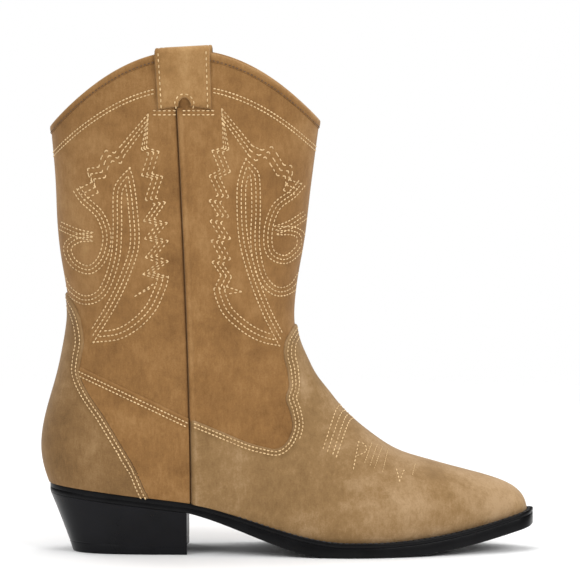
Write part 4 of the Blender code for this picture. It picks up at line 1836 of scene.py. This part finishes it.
@dataclass
class Binding:
    """Folded suede strip over the collar's edge, with its seam and the rows below it."""

    shop: Workshop
    columns: int = 300
    depth: float = 4.2
    thick: float = 0.45
    row_depths: tuple[float, ...] = (14.6, 16.9)
    row_drop: float = 4.4
    seam_depth: float = 3.35
    tab_span: tuple[float, float] = (14.5, 48.5)

    def build(self) -> None:
        """Make the strip, its seam and the double row below."""
        collar, wall = Collar(self.shop), self.shop.last.sizes.wall / MM
        outer = ((self.depth + 0.1, -0.1), (self.depth + 0.1, 0.1),
                 (self.depth - 0.25, self.thick), (3.3, self.thick - 0.12),
                 (2.5, self.thick + 0.12), (1.0, self.thick + 0.2),
                 (-0.1, self.thick + 0.05), (-0.6, 0.15), (-0.85, -0.5))
        inner = [(depth, -wall - lift) for depth, lift in outer[::-1]]
        section = np.array([*outer, *inner]) * MM
        phi = np.linspace(0, 2 * math.pi, self.columns, endpoint=False)
        rings = collar.spots(phi[:, None], section[None, :, 0], section[None, :, 1])
        # Painted light: lighter over the strip's rolled top, painted shade down towards its
        # lower edge on the shaft.
        tone = np.tile(np.interp(section[:, 0] / MM, (-1.0, 0.3, 2.2, 3.3, 4.3),
                                 (0.5, 0.2, -0.1, -0.35, -0.45)), self.columns)
        self.shop.make("collar_binding", "suede_shaft", tube(rings, closed=True),
                       SHAFT_SUEDE, "collar_binding", sharp=STRIP_CRISP, tone=tone)
        phi = np.linspace(0, 2 * math.pi, 700)
        self.shop.sew("binding_stitches", "suede_shaft",
                      [self.row(collar, phi, self.seam_depth, self.thick)], 3,
                      StitchSizes(2.3 * MM, 1.6 * MM, 0.7 * MM, 0.4 * MM, 0.05),
                      TAN_THREAD)
        paths = []
        low, high = np.array(self.tab_span) * MM
        for depth in self.row_depths:
            path, normals = self.row(collar, phi, depth + self.row_drop * np.sin(phi) ** 2,
                                     0.1)
            open_way = (path[:, 0] < low) | (path[:, 0] > high)
            paths += [(path[part], normals[part]) for part in stretches(open_way)]
        self.shop.sew("collar_stitches", "suede_shaft", paths, 4)

    def row(self, collar: Collar, phi: np.ndarray, depth: np.ndarray | float,
            lift: float) -> Path:
        """A row round the collar.

        Args:
            collar: The collar's places.
            phi: Angles.
            depth: Depth in millimetres at each angle.
            lift: Height over the suede in millimetres.

        Returns:
            Points and normals.
        """
        depth = np.broadcast_to(np.asarray(depth, float) * MM, phi.shape)
        path = collar.spots(phi, depth, lift * MM)
        above = collar.spots(phi, depth, lift * MM + 0.5 * MM)
        return path, (above - path) / (0.5 * MM)


@dataclass
class PullTab:
    """A suede pull strap folded over one of the collar's peaks."""

    shop: Workshop
    side: Side
    thick: float = 1.9
    drop: float = 31.0
    bend: float = 10.5
    notch_half: float = 3.6
    notch_rise: float = 5.2
    splay: float = 0.022
    tilt: float = 0.055
    columns: int = 60
    path: tuple[tuple[float, float, float], ...] = (
        (31, 0.25, 0), (24, 0.25, 0), (16, 0.25, 0), (10.5, 0.3, 0), (7.2, 0.7, 0),
        (4.5, 1.0, 0.1), (1.8, 1.1, 0.3), (0, 1.0, 0.6), (-0.6, 0.8, 0.85), (-1.0, 0.0, 1),
        (-1.15, -1.0, 1), (-1.0, -2.0, 1), (-0.6, -2.8, 0.85), (0, -3.0, 0.6),
        (1.8, -3.1, 0.3), (4.5, -3.0, 0.1), (7.2, -2.7, 0), (10.5, -2.3, 0),
        (16, -2.25, 0), (24, -2.25, 0), (31, -2.25, 0))

    def __post_init__(self) -> None:
        """Take the strap's place and width from the frame."""
        low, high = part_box("pull_tab_" + self.side.word)
        self.middle = (low[0] + high[0]) / 2 / MM
        self.half = (high[0] - low[0]) / 2 / MM

    def across(self) -> np.ndarray:
        """Places across the strap, closer at its edges, seams and notch.

        Returns:
            The places, in millimetres from its middle.
        """
        half, notch = self.half, self.notch_half
        edge = [half, half - 0.25, half - 0.7, half - 1.4, half - 2.2, half - 3.0]
        near = [notch * k for k in (1.0, 0.99, 0.95, 0.86, 0.7, 0.45, 0.2)]
        between = list(np.linspace(notch + 0.8, half - 4.0, 8))
        right = sorted({round(v, 3) for v in edge + near + between})
        return np.array([-v for v in right[::-1]] + [0.0] + right)

    def spots(self, u: np.ndarray, depth: np.ndarray, lift: np.ndarray,
              level: np.ndarray | float = 0.0) -> np.ndarray:
        """Points on the strap.

        Args:
            u: Distances across from its middle, in millimetres.
            depth: Depths below the collar's edge, in millimetres.
            lift: Heights over the suede, in millimetres.
            level: Shares pulled up to the peak.

        Returns:
            The points.
        """
        u, depth, lift, level = np.broadcast_arrays(u, depth, lift, level)
        collar = Collar(self.shop)
        phi = collar.angles((self.middle + u) * MM, self.side)
        phi = phi + self.side.value * self.splay * np.clip(depth, 0, None) / self.drop
        points = collar.spots(phi, depth * MM, lift * MM, level)
        points[..., 2] += self.tilt * u * MM * level
        return points

    def bottom(self, u: np.ndarray) -> np.ndarray:
        """Depth of the strap's lower edge, arched over the seam."""
        arch = np.clip(1 - (u / self.notch_half) ** 2, 0, 1) ** 0.5
        return self.drop - self.notch_rise * arch

    def build(self) -> None:
        """Make the strap and its stitches."""
        course = smoothed(self.path, 1.1)
        plane = np.stack([course[:, 1], -course[:, 0]], -1)
        tangent = np.gradient(plane, axis=0)
        tangent /= np.linalg.norm(tangent, axis=1, keepdims=True)
        outward = np.stack([tangent[:, 1], -tangent[:, 0]], -1)
        u = self.across()
        ends = np.minimum(np.arange(len(course)), np.arange(len(course))[::-1])
        full = np.interp(ends, (0, 1, 2), (0.45, 0.9, 1.0))
        sides = np.interp(self.half - np.abs(u), (0, 0.25, 0.7, 1.4, 2.2, 3.0),
                          (0.35, 0.75, 0.97, 1.0, 0.86, 1.0))
        rings = []
        for place, roll in zip(u, sides):
            stretch = (self.bottom(place) - self.bend) / (self.drop - self.bend)
            faces_of = []
            for share in (0.0, roll):
                depth = -(plane[:, 1] + outward[:, 1] * self.thick * share * full)
                lift = plane[:, 0] + outward[:, 0] * self.thick * share * full
                outer = (course[:, 1] > -1.0) & (depth > self.bend)
                depth = np.where(outer, self.bend + (depth - self.bend) * stretch, depth)
                faces_of.append(self.spots(np.full(len(course), place), depth, lift,
                                           course[:, 2]))
            rings.append(np.concatenate([faces_of[0], faces_of[1][::-1]]))
        points, faces = tube(np.array(rings))
        low, high = points[:, 2].min(), points[:, 2].max()
        height = (points[:, 2] - low) / (high - low)
        along = (points[:, 0] / MM - self.middle) / self.half
        # Painted light: lighter down the strap's middle and over its fold, painted shade at its
        # foot and towards its back edge.
        tone = (0.45 * bell(along, 0.1, 0.3) * smooth_step(0.1, 0.5, height)
                + 0.4 * smooth_step(0.9, 1.0, height) - 0.25 * (height < 0.12)
                - 0.25 * smooth_step(0.7, 1.0, -along))
        name = "pull_tab_" + self.side.word
        self.shop.make(name, "suede_shaft", (points, faces), TAB_SUEDE, name,
                       sharp=STRIP_CRISP, tone=tone)
        self.shop.sew("pull_tab_stitches_" + self.side.word, "suede_shaft", self.seams(), 5,
                      StitchSizes(3.0 * MM, 2.1 * MM, 0.85 * MM))

    def seams(self) -> list[Path]:
        """Rows down both edges, outside and inside, and round the notch.

        Returns:
            Points and normals of each row.
        """
        lines = []
        for u in (-self.half + 2.2, self.half - 2.2):
            for outward in (1, -1):
                stops = [stop for stop in self.path if outward * (stop[1] + 1) > 0.5]
                places, lifts, levels = np.array(sorted(stops)).T
                depth = np.linspace(self.drop - 1.6, 0.4, 60)
                lines.append((np.full(60, u), depth, np.interp(depth, places, lifts)
                              + outward * self.thick, np.interp(depth, places, levels)))
        turn = np.linspace(-0.15 * math.pi, 1.15 * math.pi, 24)
        reach = self.notch_half + 1.9
        lines.append((reach * np.cos(turn), self.drop - 1.2 - (self.notch_rise + 1.0)
                      * np.clip(np.sin(turn), -0.2, 1), np.full(24, 0.2 + self.thick),
                      np.zeros(24)))
        paths = []
        for u, depth, lift, level in lines:
            outward = np.sign(lift + 1)
            path = self.spots(u, depth, lift, level)
            above = self.spots(u, depth, lift + 0.5 * outward, level)
            paths.append((path, (above - path) / (0.5 * MM)))
        return paths


@dataclass(frozen=True)
class Stroke:
    """One stroke of the fancy stitching, drawn in side view, and its further rows."""

    points: Line
    rows: tuple[float, ...] = (0.0,)
    shifts: Line = ((0.0, 0.0),)
    flowing: bool = True
    trims: tuple[float, float] = (0.0, 0.0)

    def lines(self) -> list[np.ndarray]:
        """The stroke's rows.

        Returns:
            Lines of points along X and up Z, in metres; sharp corners end a line.
        """
        if self.flowing:
            middle = smoothed(self.points, 0.5)
            found = []
            for row in self.rows:
                first, last = (round(trim * abs(row) / 0.5) for trim in self.trims)
                found.append(beside(middle, row)[first:len(middle) - last] * MM)
            return found
        drawn = np.asarray(self.points, float)
        grow = np.minimum(np.arange(len(drawn)) / 2, 1)[:, None]
        found = []
        for shift in self.shifts:
            moved = drawn + grow * shift + (1 - grow) * (0, shift[1] * 0.9)
            for a, b in zip(moved, moved[1:]):
                length = float(np.linalg.norm(b - a))
                trim = min(0.65, 0.25 * length) / length
                steps = max(3, round(length / 0.6))
                share = np.linspace(trim, 1 - trim, steps)[:, None]
                found.append((a + (b - a) * share) * MM)
        return found


INNER = (0.0, 2.4, 4.8)
OUTER = (0.0, -2.4, -4.8)
HOOKED = (-2.3, 0.0, 2.3)
STROKES = (
    Stroke(((12, 249.5), (-3.5, 231.5), (-7, 227.5), (-12, 229), (-14.5, 225),
            (-16, 219.5), (-22.5, 218.5), (-22, 215), (-20, 211), (-28.5, 206.5)),
           shifts=((0, 0), (1.8, -2.9), (3.6, -5.8)), flowing=False),
    Stroke(((-28.5, 206.5), (-24.5, 201), (-15.5, 192.5), (-11.5, 180.5), (-14.5, 168),
            (-22, 161.5), (-31, 165), (-34.5, 173.5), (-28.5, 179), (-20.5, 180)), HOOKED),
    Stroke(((-20.5, 180.5), (-28.5, 182), (-38.5, 185.5)), HOOKED),
    Stroke(((1.5, 219), (-3.5, 214), (-7, 208.5), (-8, 201), (-8, 185), (-9.5, 168),
            (-16, 151), (-24.5, 146.5), (-32.5, 150.5), (-36.5, 157)), INNER, trims=(2.0, 0)),
    Stroke(((1.5, 219), (3.5, 212.5), (5.5, 197.5), (6.5, 176.5), (1.5, 159.5),
            (-7, 141), (-19.5, 120.5)), OUTER, trims=(2.0, 1.4)),
    Stroke(((12, 249.5), (11, 230.5), (18, 228.5), (14, 216), (20, 214.5), (16, 202.5),
            (21.5, 200), (15, 190.5), (22.5, 188.5), (15.5, 180.5), (23, 178.5),
            (16, 170), (23, 167), (14.5, 160.5), (23, 158)),
           shifts=((0, 0), (-2.9, -0.5), (-5.8, -1.0)), flowing=False),
    Stroke(((14.5, 154), (4, 147), (12.5, 151.5)), flowing=False),
    Stroke(((23, 158), (21.5, 152), (15.5, 139), (5.5, 128.5), (-5.5, 122.5),
            (-19.5, 120.5)), (0.0, -2.9, -5.8), trims=(0, 1.3)),
    Stroke(((53, 252.5), (70, 231.5), (75.5, 229), (81, 231), (84, 226.5), (87.5, 220.5),
            (92, 220), (92.5, 215.5), (91, 212), (97.5, 209.5)),
           shifts=((0, 0), (-1.8, -2.9), (-3.6, -5.8)), flowing=False),
    Stroke(((97.5, 209.5), (92.5, 204), (83.5, 197), (79, 184.5), (80, 171.5),
            (88.5, 167), (96.5, 173), (97, 180), (92.5, 183), (84.5, 183.5)), HOOKED),
    Stroke(((83.5, 184), (91, 186.5), (99.5, 191.5)), HOOKED),
    Stroke(((66.5, 224), (71.5, 219), (74, 213.5), (74.5, 195.5), (74, 176), (77.5, 159),
            (84, 151.5), (91, 152.5), (96, 159)), OUTER, trims=(2.0, 0)),
    Stroke(((66.5, 224), (63.5, 217), (61.5, 205.5), (62.5, 180.5), (67.5, 159.5),
            (75.5, 137.5), (85, 118)), INNER, trims=(2.0, 1.4)),
    Stroke(((53, 252.5), (54, 230.5), (47.5, 229), (52, 218), (46, 215), (51, 204),
            (46, 201), (51, 193), (46.5, 189.5), (52, 180.5), (47, 178.5), (52, 169),
            (47.5, 166.5), (52.5, 159), (48.5, 151)),
           shifts=((0, 0), (2.9, -0.5), (5.8, -1.0)), flowing=False),
    Stroke(((55.5, 152.5), (64, 149.5), (57, 148.5)), flowing=False),
    Stroke(((48.5, 151), (50, 145), (54.5, 136), (65.5, 126), (75.5, 120.5), (85, 118)),
           (0.0, 2.9, 5.8), trims=(0, 1.3)),
)


@dataclass
class FancyStitching:
    """Flame and leaf rows on the shaft, and the two rows under each pull tab."""

    shop: Workshop
    shaft: bpy.types.Object
    tab_rows: tuple[float, ...] = (251.3, 249.0)
    tab_span: tuple[float, float] = (15.5, 48.0)

    def build(self) -> None:
        """Sew every stroke on both sides."""
        caster = Caster(self.shaft)
        for side in Side:
            paths = []
            for stroke in STROKES:
                for line in stroke.lines():
                    paths += caster.drop(line, side, 0.12 * MM)
            seam = float(self.shop.last.seam_x(self.tab_rows[0] * MM)) / MM
            low, high = self.tab_span
            for z in self.tab_rows:
                for a, b in ((low, seam - 1.2), (seam + 4.2, high)):
                    line = np.linspace((a, z), (b, z), 24) * MM
                    paths += caster.drop(line, side, 0.12 * MM)
            self.shop.sew("shaft_stitches_" + side.word, "suede_shaft", paths,
                          10 + side.value, StitchSizes(2.45 * MM, 1.95 * MM))


@dataclass(frozen=True)
class ToeRow:
    """A row over the toe's ridge, pointing to the toe, with both ends on the flanks."""

    ridge: float
    end: tuple[float, float]
    bare: float = 0.0


TOE_ROWS = (
    ToeRow(120.5, (110.0, 60.5)), ToeRow(123.0, (112.5, 59.0)),
    ToeRow(125.2, (115.5, 57.5)), ToeRow(127.6, (117.5, 56.0)),
)
TOE_VEINS = (
    ToeRow(141.0, (133.5, 52.5), 0.45), ToeRow(143.5, (136.5, 51.0), 0.4),
    ToeRow(146.2, (139.0, 49.5), 0.35), ToeRow(148.8, (143.5, 47.5), 0.3),
    ToeRow(165.0, (160.5, 45.5), 0.6),
)
TOE_LOOPS = (
    ((130.0, 63.0), (127.0, 49.5)),
    ((130.2, 63.0), (133.6, 61.5), (134.0, 58.0), (129.6, 56.2)),
    ((151.5, 48.0), (153.0, 42.5)),
    ((153.0, 42.5), (155.5, 47.4)),
)


@dataclass
class ToeStitching:
    """The toe's own ornament: crossing rows, veins and a small loop on each flank."""

    shop: Workshop
    vamp: bpy.types.Object
    lift: float = 0.12 * MM

    def over(self, caster: Caster, row: ToeRow) -> list[Path]:
        """The paths of a row over the ridge, or on each flank where the ridge stays bare.

        Args:
            caster: The vamp's faces.
            row: The row.

        Returns:
            Points and normals of each.
        """
        ends = []
        for side in Side:
            spot = caster.tree.ray_cast(
                Vector((row.end[0] * MM, -caster.far_out * side.value, row.end[1] * MM)),
                Vector((0, side.value, 0)))[0]
            ends.append(np.array(spot))
        top = caster.tree.ray_cast(Vector((row.ridge * MM, np.mean([e[1] for e in ends]),
                                           caster.far_out)), Vector((0, 0, -1)))[0]
        halves = []
        for end in ends:
            path, normals = [], []
            for spot in np.linspace(end, np.array(top), 40)[:round(40 * (1 - row.bare))]:
                middle = Vector((spot[0], top[1], 0.45 * top[2]))
                way = (Vector(spot) - middle).normalized()
                near, normal, _, _ = caster.tree.ray_cast(middle + 0.2 * way, -way)
                path.append(np.array(near + normal * self.lift))
                normals.append(np.array(normal))
            halves.append((np.array(path), np.array(normals)))
        return halves

    def build(self) -> None:
        """Sew the ornament."""
        caster = Caster(self.vamp)
        broad = [path for row in TOE_ROWS for path in self.over(caster, row)]
        fine = [path for row in TOE_VEINS for path in self.over(caster, row)]
        for side in Side:
            for points in TOE_LOOPS:
                line = (smoothed(points, 0.6) if len(points) > 2 else
                        np.linspace(*points, 24)) * MM
                broad += caster.drop(line, side, self.lift)
        for name, paths, sizes in (
                ("toe_stitches", broad, StitchSizes(2.5 * MM, 2.0 * MM, 0.75 * MM)),
                ("toe_veins", fine, StitchSizes(1.7 * MM, 1.45 * MM, 0.45 * MM,
                                                0.4 * MM))):
            self.shop.sew(name, "suede_overlay", paths, 20, sizes)


class Outline:
    """Plan outlines round the foot, even in points on both sides of the toe."""

    def __init__(self, last: Last, count: int = 260) -> None:
        """Keep the last and how many points each side of an outline has."""
        self.last, self.count = last, count

    def ring(self, inset: float, margin: Callable | None = None) -> np.ndarray:
        """A closed outline from the heel's back round the outer side.

        Args:
            inset: How far inside the margin it lies, in millimetres.
            margin: The margin along the boot; the sole's where not given.

        Returns:
            Plan points.
        """
        margin = margin or self.last.edge_margin
        loop = self.last.feather_loop(lambda x: margin(x) - inset * MM, 900)
        tip = int(np.argmax(loop[:, 0]))
        halves = []
        turn = np.linspace(0, math.pi, self.count + 1)
        share = 0.5 * turn / math.pi + 0.5 * (0.5 - 0.5 * np.cos(turn))
        for half in (loop[:tip + 1], np.concatenate([loop[tip:], loop[:1]])[::-1]):
            travel = travelled(half)
            at = share * travel[-1]
            halves.append(np.stack([np.interp(at, travel, half[:, k]) for k in (0, 1)],
                                   -1))
        return np.concatenate([halves[0], halves[1][-2:0:-1]])

    def plate(self, rim: Sequence[tuple[float, Callable]], margin: Callable | None = None,
              across: int = 14) -> tuple[np.ndarray, list]:
        """A plate under the foot.

        Args:
            rim: From the top's edge to the underside's, insets and heights along X.
            margin: The margin that insets are taken from.
            across: Steps across the top and the underside.

        Returns:
            Points and faces.
        """
        rings = []
        for inset, height in rim:
            plan = self.ring(inset, margin)
            rings.append(np.column_stack([plan, height(plan[:, 0])]))
        around = len(rings[0])
        faces = grid_faces(len(rings), around, False, True)
        points = [np.concatenate(rings)]
        for ring, (_, height) in ((rings[0], rim[0]), (rings[-1], rim[-1])):
            start = sum(len(p) for p in points)
            near, far = ring[:self.count + 1], np.roll(ring[::-1], 1,
                                                       axis=0)[:self.count + 1]
            share = np.linspace(0, 1, across + 1)[None, :, None]
            cover = near[:, None, :2] * (1 - share) + far[:, None, :2] * share
            cover = cover.reshape(-1, 2)
            points.append(np.column_stack([cover, height(cover[:, 0])]))
            faces += [tuple(start + v for v in face)
                      for face in grid_faces(self.count + 1, across + 1)]
        return np.concatenate(points), faces


@dataclass
class Welt:
    """Black welt with a stitched channel, standing out round the forepart."""

    shop: Workshop
    outline: Outline
    seat: float = 3.5
    groove: float = 0.35
    channel: float = 0.56
    least: float = 2.4

    def build(self) -> None:
        """Make the strip and its stitches."""
        last, sizes = self.shop.last, self.shop.last.sizes
        thick, seat = sizes.welt / MM, self.seat * MM
        section = ((None, thick), (None, 0.0), (0.0, 0.0), (0.3, 0.0), (0.44, 0.02),
                   (0.5, self.groove), (0.62, self.groove), (0.68, 0.02), (0.88, 0.0),
                   (0.96, 0.12), (1.0, 0.45), (1.0, thick - 0.45), (0.96, thick - 0.1),
                   (0.9, thick))
        rings = []
        for share, drop in section:
            if share is None:
                plan = self.outline.ring(0, lambda x: np.full_like(x, -seat))
            else:
                plan = self.outline.ring(0, lambda x: share * last.edge_margin(x))
            rings.append(np.column_stack([plan, last.feather(plan[:, 0]) - drop * MM
                                          - 0.04 * MM]))
        rings = np.swapaxes(np.array(rings), 0, 1)
        self.shop.make("welt", "welt_black", tube(rings, closed=True), SOLE_BLACK, "welt")
        plan = self.outline.ring(0, lambda x: self.channel * last.edge_margin(x))
        path = np.column_stack([plan, last.feather(plan[:, 0]) - 0.12 * MM])
        wide = last.edge_margin(plan[:, 0]) > self.least * MM
        first = int(np.argmax(wide))
        held = path[first:][wide[first:]]
        up = np.tile((0.0, 0.0, 1.0), (len(held), 1))
        self.shop.sew("welt_stitches", "welt_black", [(held, up)], 30,
                      StitchSizes(3.3 * MM, 2.6 * MM, 1.0 * MM, 0.8 * MM, 0.05),
                      BLACK_THREAD)


@dataclass
class Outsole:
    """Full-length black sole with a dressed, slightly rounded edge."""

    shop: Workshop
    outline: Outline
    round: float = 0.8

    def build(self) -> None:
        """Make the sole."""
        last, sizes = self.shop.last, self.shop.last.sizes
        drop = sizes.welt + 0.12 * MM

        def top(down: float) -> Callable:
            """Height a little below the sole's top."""
            return lambda x: last.feather(x) - drop - down * MM

        def under(up: float) -> Callable:
            """Height a little above the tread."""
            return lambda x: last.tread(x) + up * MM

        soft = self.round
        rim = ((0.5, top(0)), (0.12, top(0.06)), (0.0, top(0.35)),
               (0.0, under(soft + 0.1)), (0.1 * soft, under(0.55 * soft)),
               (0.35 * soft, under(0.2 * soft)), (0.9 * soft, under(0.03)),
               (1.6 * soft, under(0)))
        self.shop.make("outsole", "sole_black", self.outline.plate(rim), SOLE_BLACK,
                       "outsole")


@dataclass
class Sock:
    """Leather sock over the insole, seen down the shaft."""

    shop: Workshop
    outline: Outline
    inset: float = 2.2
    rise: float = 2.0
    thick: float = 3.6

    def build(self) -> None:
        """Make the sock."""
        last = self.shop.last

        def above(height: float) -> Callable:
            """Height over the feather line."""
            return lambda x: last.feather(x) + height * MM

        rim = ((1.2, above(self.rise)), (0.4, above(self.rise - 0.1)),
               (0.0, above(self.rise - 0.6)), (0.3, above(self.rise - 1.4)),
               (2.4, above(self.rise - self.thick)))
        shape = self.outline.plate(
            rim, lambda x: np.full_like(np.asarray(x, float), -self.inset * MM))
        self.shop.make("insole_sock", "insole_board", shape, SOCK, "insole")


@dataclass
class Heel:
    """Stacked block heel, lacquered black, with an upright breast and a top piece."""

    shop: Workshop
    outline: Outline
    foot_width: float = 53.0
    hollow: float = 3.0
    lift: float = 6.0
    groove: float = 0.12
    fall: float = 1.1
    levels: int = 34

    def build(self) -> None:
        """Make the heel."""
        last, sizes = self.shop.last, self.shop.last.sizes
        loop = self.outline.ring(0.15)
        held = loop[:, 0] < last.breast
        turn = int(np.argmax(~held))
        back = len(held) - int(np.argmax(~held[::-1]))
        seat = np.concatenate([loop[back:], loop[:turn]])
        across = np.linspace(seat[-1, 1], seat[0, 1], 17)
        middle, half = (across[0] + across[-1]) / 2, (across[-1] - across[0]) / 2
        bowed = last.breast - self.hollow * MM * (1 - ((across - middle) / half) ** 2)
        top = np.concatenate([seat, np.stack([bowed, across], -1)])
        length, width = last.breast - top[:, 0].min(), np.ptp(top[:, 1])
        foot = np.stack([last.breast - (last.breast - top[:, 0]) * sizes.heel_foot / length,
                         top[:, 1] * self.foot_width * MM / width], -1)
        roof = last.feather(top[:, 0]) - last.waist_stack - 0.02 * MM
        rings = []
        tall = float(roof.max()) / MM
        shares = np.concatenate([[0, 0, 0.006, 0.016], np.linspace(0.03, 0.97, self.levels),
                                 [0.988, 1.0]])
        insets = np.concatenate([[0.6, 0.3, 0.08, 0.0], np.zeros(self.levels),
                                 [0.0, 0.12]])
        line = self.lift / tall
        extra = np.array([-0.012, -0.007, 0.0, 0.007, 0.012]) + line
        cuts = np.array([0.0, self.groove, self.groove * 1.15, self.groove, 0.0])
        clear = np.abs(shares - line) > 0.016
        shares, insets = (np.concatenate([shares[clear], extra]),
                          np.concatenate([insets[clear], cuts]))
        order = np.lexsort((-insets, shares))
        for share, inset in zip(shares[order], insets[order]):
            plan = foot + (top - foot) * share ** self.fall
            centre = plan.mean(axis=0)
            reach = np.linalg.norm(plan - centre, axis=1, keepdims=True)
            plan = centre + (plan - centre) * (1 - inset * MM / reach)
            rings.append(np.column_stack([plan, roof * share]))
        self.shop.make("heel", "heel_black", tube(np.array(rings)), HEEL_BLACK, "heel",
                       sharp=HEEL_CRISP)


@dataclass
class Studio:
    """Pale floor, soft lights, white surround and the camera."""

    camera_at: tuple[float, float, float] = (0.091, -2.300, 0.294)
    aim_at: tuple[float, float, float] = (0.0912, 0.0, 0.1484)
    lens: float = 251.0
    lit_at: tuple[float, float, float] = (0.09, 0.0, 0.13)
    strengths: tuple[float, float, float] = (1.0, 0.62, 0.10)
    floor_radius: float = 1.3
    fade_from: float = 0.28
    lights: tuple[tuple[tuple[float, float, float], float, float], ...] = (
        ((-0.9, -1.5, 1.5), 1.1, 18.0),
        ((1.2, -1.3, 1.1), 1.0, 22.0),
        ((0.1, 0.1, 1.9), 1.2, 16.0),
        ((-1.2, 1.3, 1.2), 1.2, 14.0),
        ((1.3, 1.2, 1.2), 1.2, 14.0),
    )

    def face(self, made: bpy.types.Object, target: Sequence[float]) -> None:
        """Turn a camera or light to a point."""
        way = Vector(target) - made.location
        made.rotation_euler = way.to_track_quat("-Z", "Y").to_euler()

    def build(self) -> None:
        """Make floor, lights, surround and camera."""
        scene = bpy.context.scene
        scene.view_settings.view_transform = "Standard"
        self.surround(scene)
        self.floor()
        for k, (place, size, power) in enumerate(self.lights):
            light = bpy.data.lights.new(f"softbox_{k}", "AREA")
            light.shape, light.size, light.energy = "DISK", size, power
            made = bpy.data.objects.new(light.name, light)
            made.location = place
            self.face(made, self.lit_at)
            scene.collection.objects.link(made)
        camera = bpy.data.cameras.new("camera")
        camera.lens, camera.sensor_width = self.lens, 36.0
        camera.clip_start, camera.clip_end = 0.05, 30.0
        made = bpy.data.objects.new("camera", camera)
        made.location = self.camera_at
        self.face(made, self.aim_at)
        scene.collection.objects.link(made)
        scene.camera = made

    def surround(self, scene: bpy.types.Scene) -> None:
        """White to the camera, softer as a light, dim in reflections.

        Args:
            scene: The scene.
        """
        world = bpy.data.worlds.new("white_surround")
        world.use_nodes = True
        scene.world = world
        tree = world.node_tree
        tree.nodes.clear()
        seen, lit, mirrored = (tree.nodes.new("ShaderNodeBackground") for _ in range(3))
        for back, strength in zip((seen, lit, mirrored), self.strengths):
            back.inputs["Color"].default_value = (1.0, 1.0, 1.0, 1.0)
            back.inputs["Strength"].default_value = strength
        path = tree.nodes.new("ShaderNodeLightPath")
        gloss, blend = (tree.nodes.new("ShaderNodeMixShader") for _ in range(2))
        result = tree.nodes.new("ShaderNodeOutputWorld")
        for source, socket in (
                (path.outputs["Is Glossy Ray"], gloss.inputs[0]),
                (lit.outputs[0], gloss.inputs[1]), (mirrored.outputs[0], gloss.inputs[2]),
                (path.outputs["Is Camera Ray"], blend.inputs[0]),
                (gloss.outputs[0], blend.inputs[1]), (seen.outputs[0], blend.inputs[2]),
                (blend.outputs[0], result.inputs[0])):
            tree.links.new(source, socket)

    def floor(self) -> None:
        """A pale disc that fades into the surround."""
        recipe = Recipe("studio_floor")
        where = recipe.places()
        away = recipe.node("ShaderNodeVectorMath", {"operation": "LENGTH"}, {0: where})
        fade = recipe.node("ShaderNodeMapRange", {"interpolation_type": "SMOOTHSTEP"},
                           {"Value": away.outputs["Value"], "From Min": self.fade_from,
                            "From Max": self.floor_radius * 0.95, "To Min": 1.0,
                            "To Max": 0.0})
        dust = recipe.noise(where, 0.2, 2)
        recipe.set(Base_Color=(0.94, 0.94, 0.94, 1.0), Roughness=dust * 0.05 + 0.30,
                   Specular_IOR_Level=0.12, Alpha=fade.outputs[0])
        turn = np.linspace(0, 2 * math.pi, 96, endpoint=False)
        rim = self.floor_radius * np.stack([np.cos(turn), np.sin(turn), 0 * turn], -1)
        mesh = bpy.data.meshes.new("studio_floor")
        mesh.from_pydata((rim - np.array([0, 0, 0.15 * MM])).tolist(), [],
                         [tuple(range(len(rim)))])
        mesh.materials.append(recipe.material)
        made = bpy.data.objects.new("studio_floor", mesh)
        bpy.context.scene.collection.objects.link(made)


def main() -> None:
    """Build every sub-assembly over the frame, in the order the boot is made."""
    logging.basicConfig(level=logging.INFO, format="%(message)s")
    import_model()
    last = Last(LastSizes())
    shop = Workshop(last, Relief(last, CREASES), StitchSetter())
    shaft = Shaft(shop)
    shaft.build()
    roll = ((0.0, 0.30), (0.25, 0.70), (0.7, 0.97))
    counter_edge = drawn_edge(COUNTER_LINE, (20, -60), (-120, -60), (-120, 149))
    quarter_edge = drawn_edge(QUARTER_LINE, (60, -60), (-120, -60), (-120, 112))
    vamp = Overlay(
        shop, "vamp", drawn_edge(VAMP_LINE, (300, 150), (300, -60), (20, -60)),
        roll + ((1.5, 0.90), (2.3, 1.0), (3.5, 0.90), (4.4, 1.0), (5.5, 0.92), (6.4, 1.0)),
        (1.5, 3.5, 5.5), FOOT_SUEDE, last.sizes.clearance + last.sizes.overlay, ("vamp",),
        limits={"seam": (shop.relief.past_seam, 0.3 * MM)},
        row_holds=lambda path, away: (
            (shop.relief.past_seam(path) > 2.4 * MM)
            & ((away < 5) | ((path[:, 0] > 80 * MM) & (path[:, 2] > 66 * MM)))),
        fold=((0.3, 0.12), (0.55, 0.5), (1.0, 0.74), (1.8, 0.93), (3.0, 1.0), (4.5, 1.0)),
        seed=6).build()
    Overlay(shop, "heel_counter", counter_edge,
            roll + ((1.6, 0.90), (2.6, 1.0), (3.8, 0.90), (4.8, 1.0)), (1.6, 3.8),
            HEEL_SUEDE, last.sizes.clearance + last.sizes.overlay, ("heel_counter",),
            seed=7).build()
    for side in Side:
        Overlay(
            shop, "quarter_" + side.word, quarter_edge,
            roll + ((1.6, 1.0), (2.6, 0.88), (3.6, 1.0), (4.8, 0.88), (5.8, 1.0)),
            (2.6, 4.8), SHAFT_SUEDE, 0.8 * MM,
            limits={"side": (lambda spots, s=side: -s.value * spots[:, 1], 0.0),
                    "counter": (lambda spots: -counter_edge.signed(spots), 0.2 * MM),
                    "seam": (lambda spots: -shop.relief.past_seam(spots), 0.6 * MM)},
            row_holds=lambda path, away: shop.relief.past_seam(path) < -1.6 * MM,
            seed=8).build()
        SidePiping(shop, side).build()
    Binding(shop).build()
    for side in Side:
        PullTab(shop, side).build()
    FancyStitching(shop, shaft.piece).build()
    ToeStitching(shop, vamp).build()
    outline = Outline(last)
    Welt(shop, outline).build()
    Outsole(shop, outline).build()
    Sock(shop, outline).build()
    Heel(shop, outline).build()
    Studio().build()


if __name__ == "__main__":
    main()
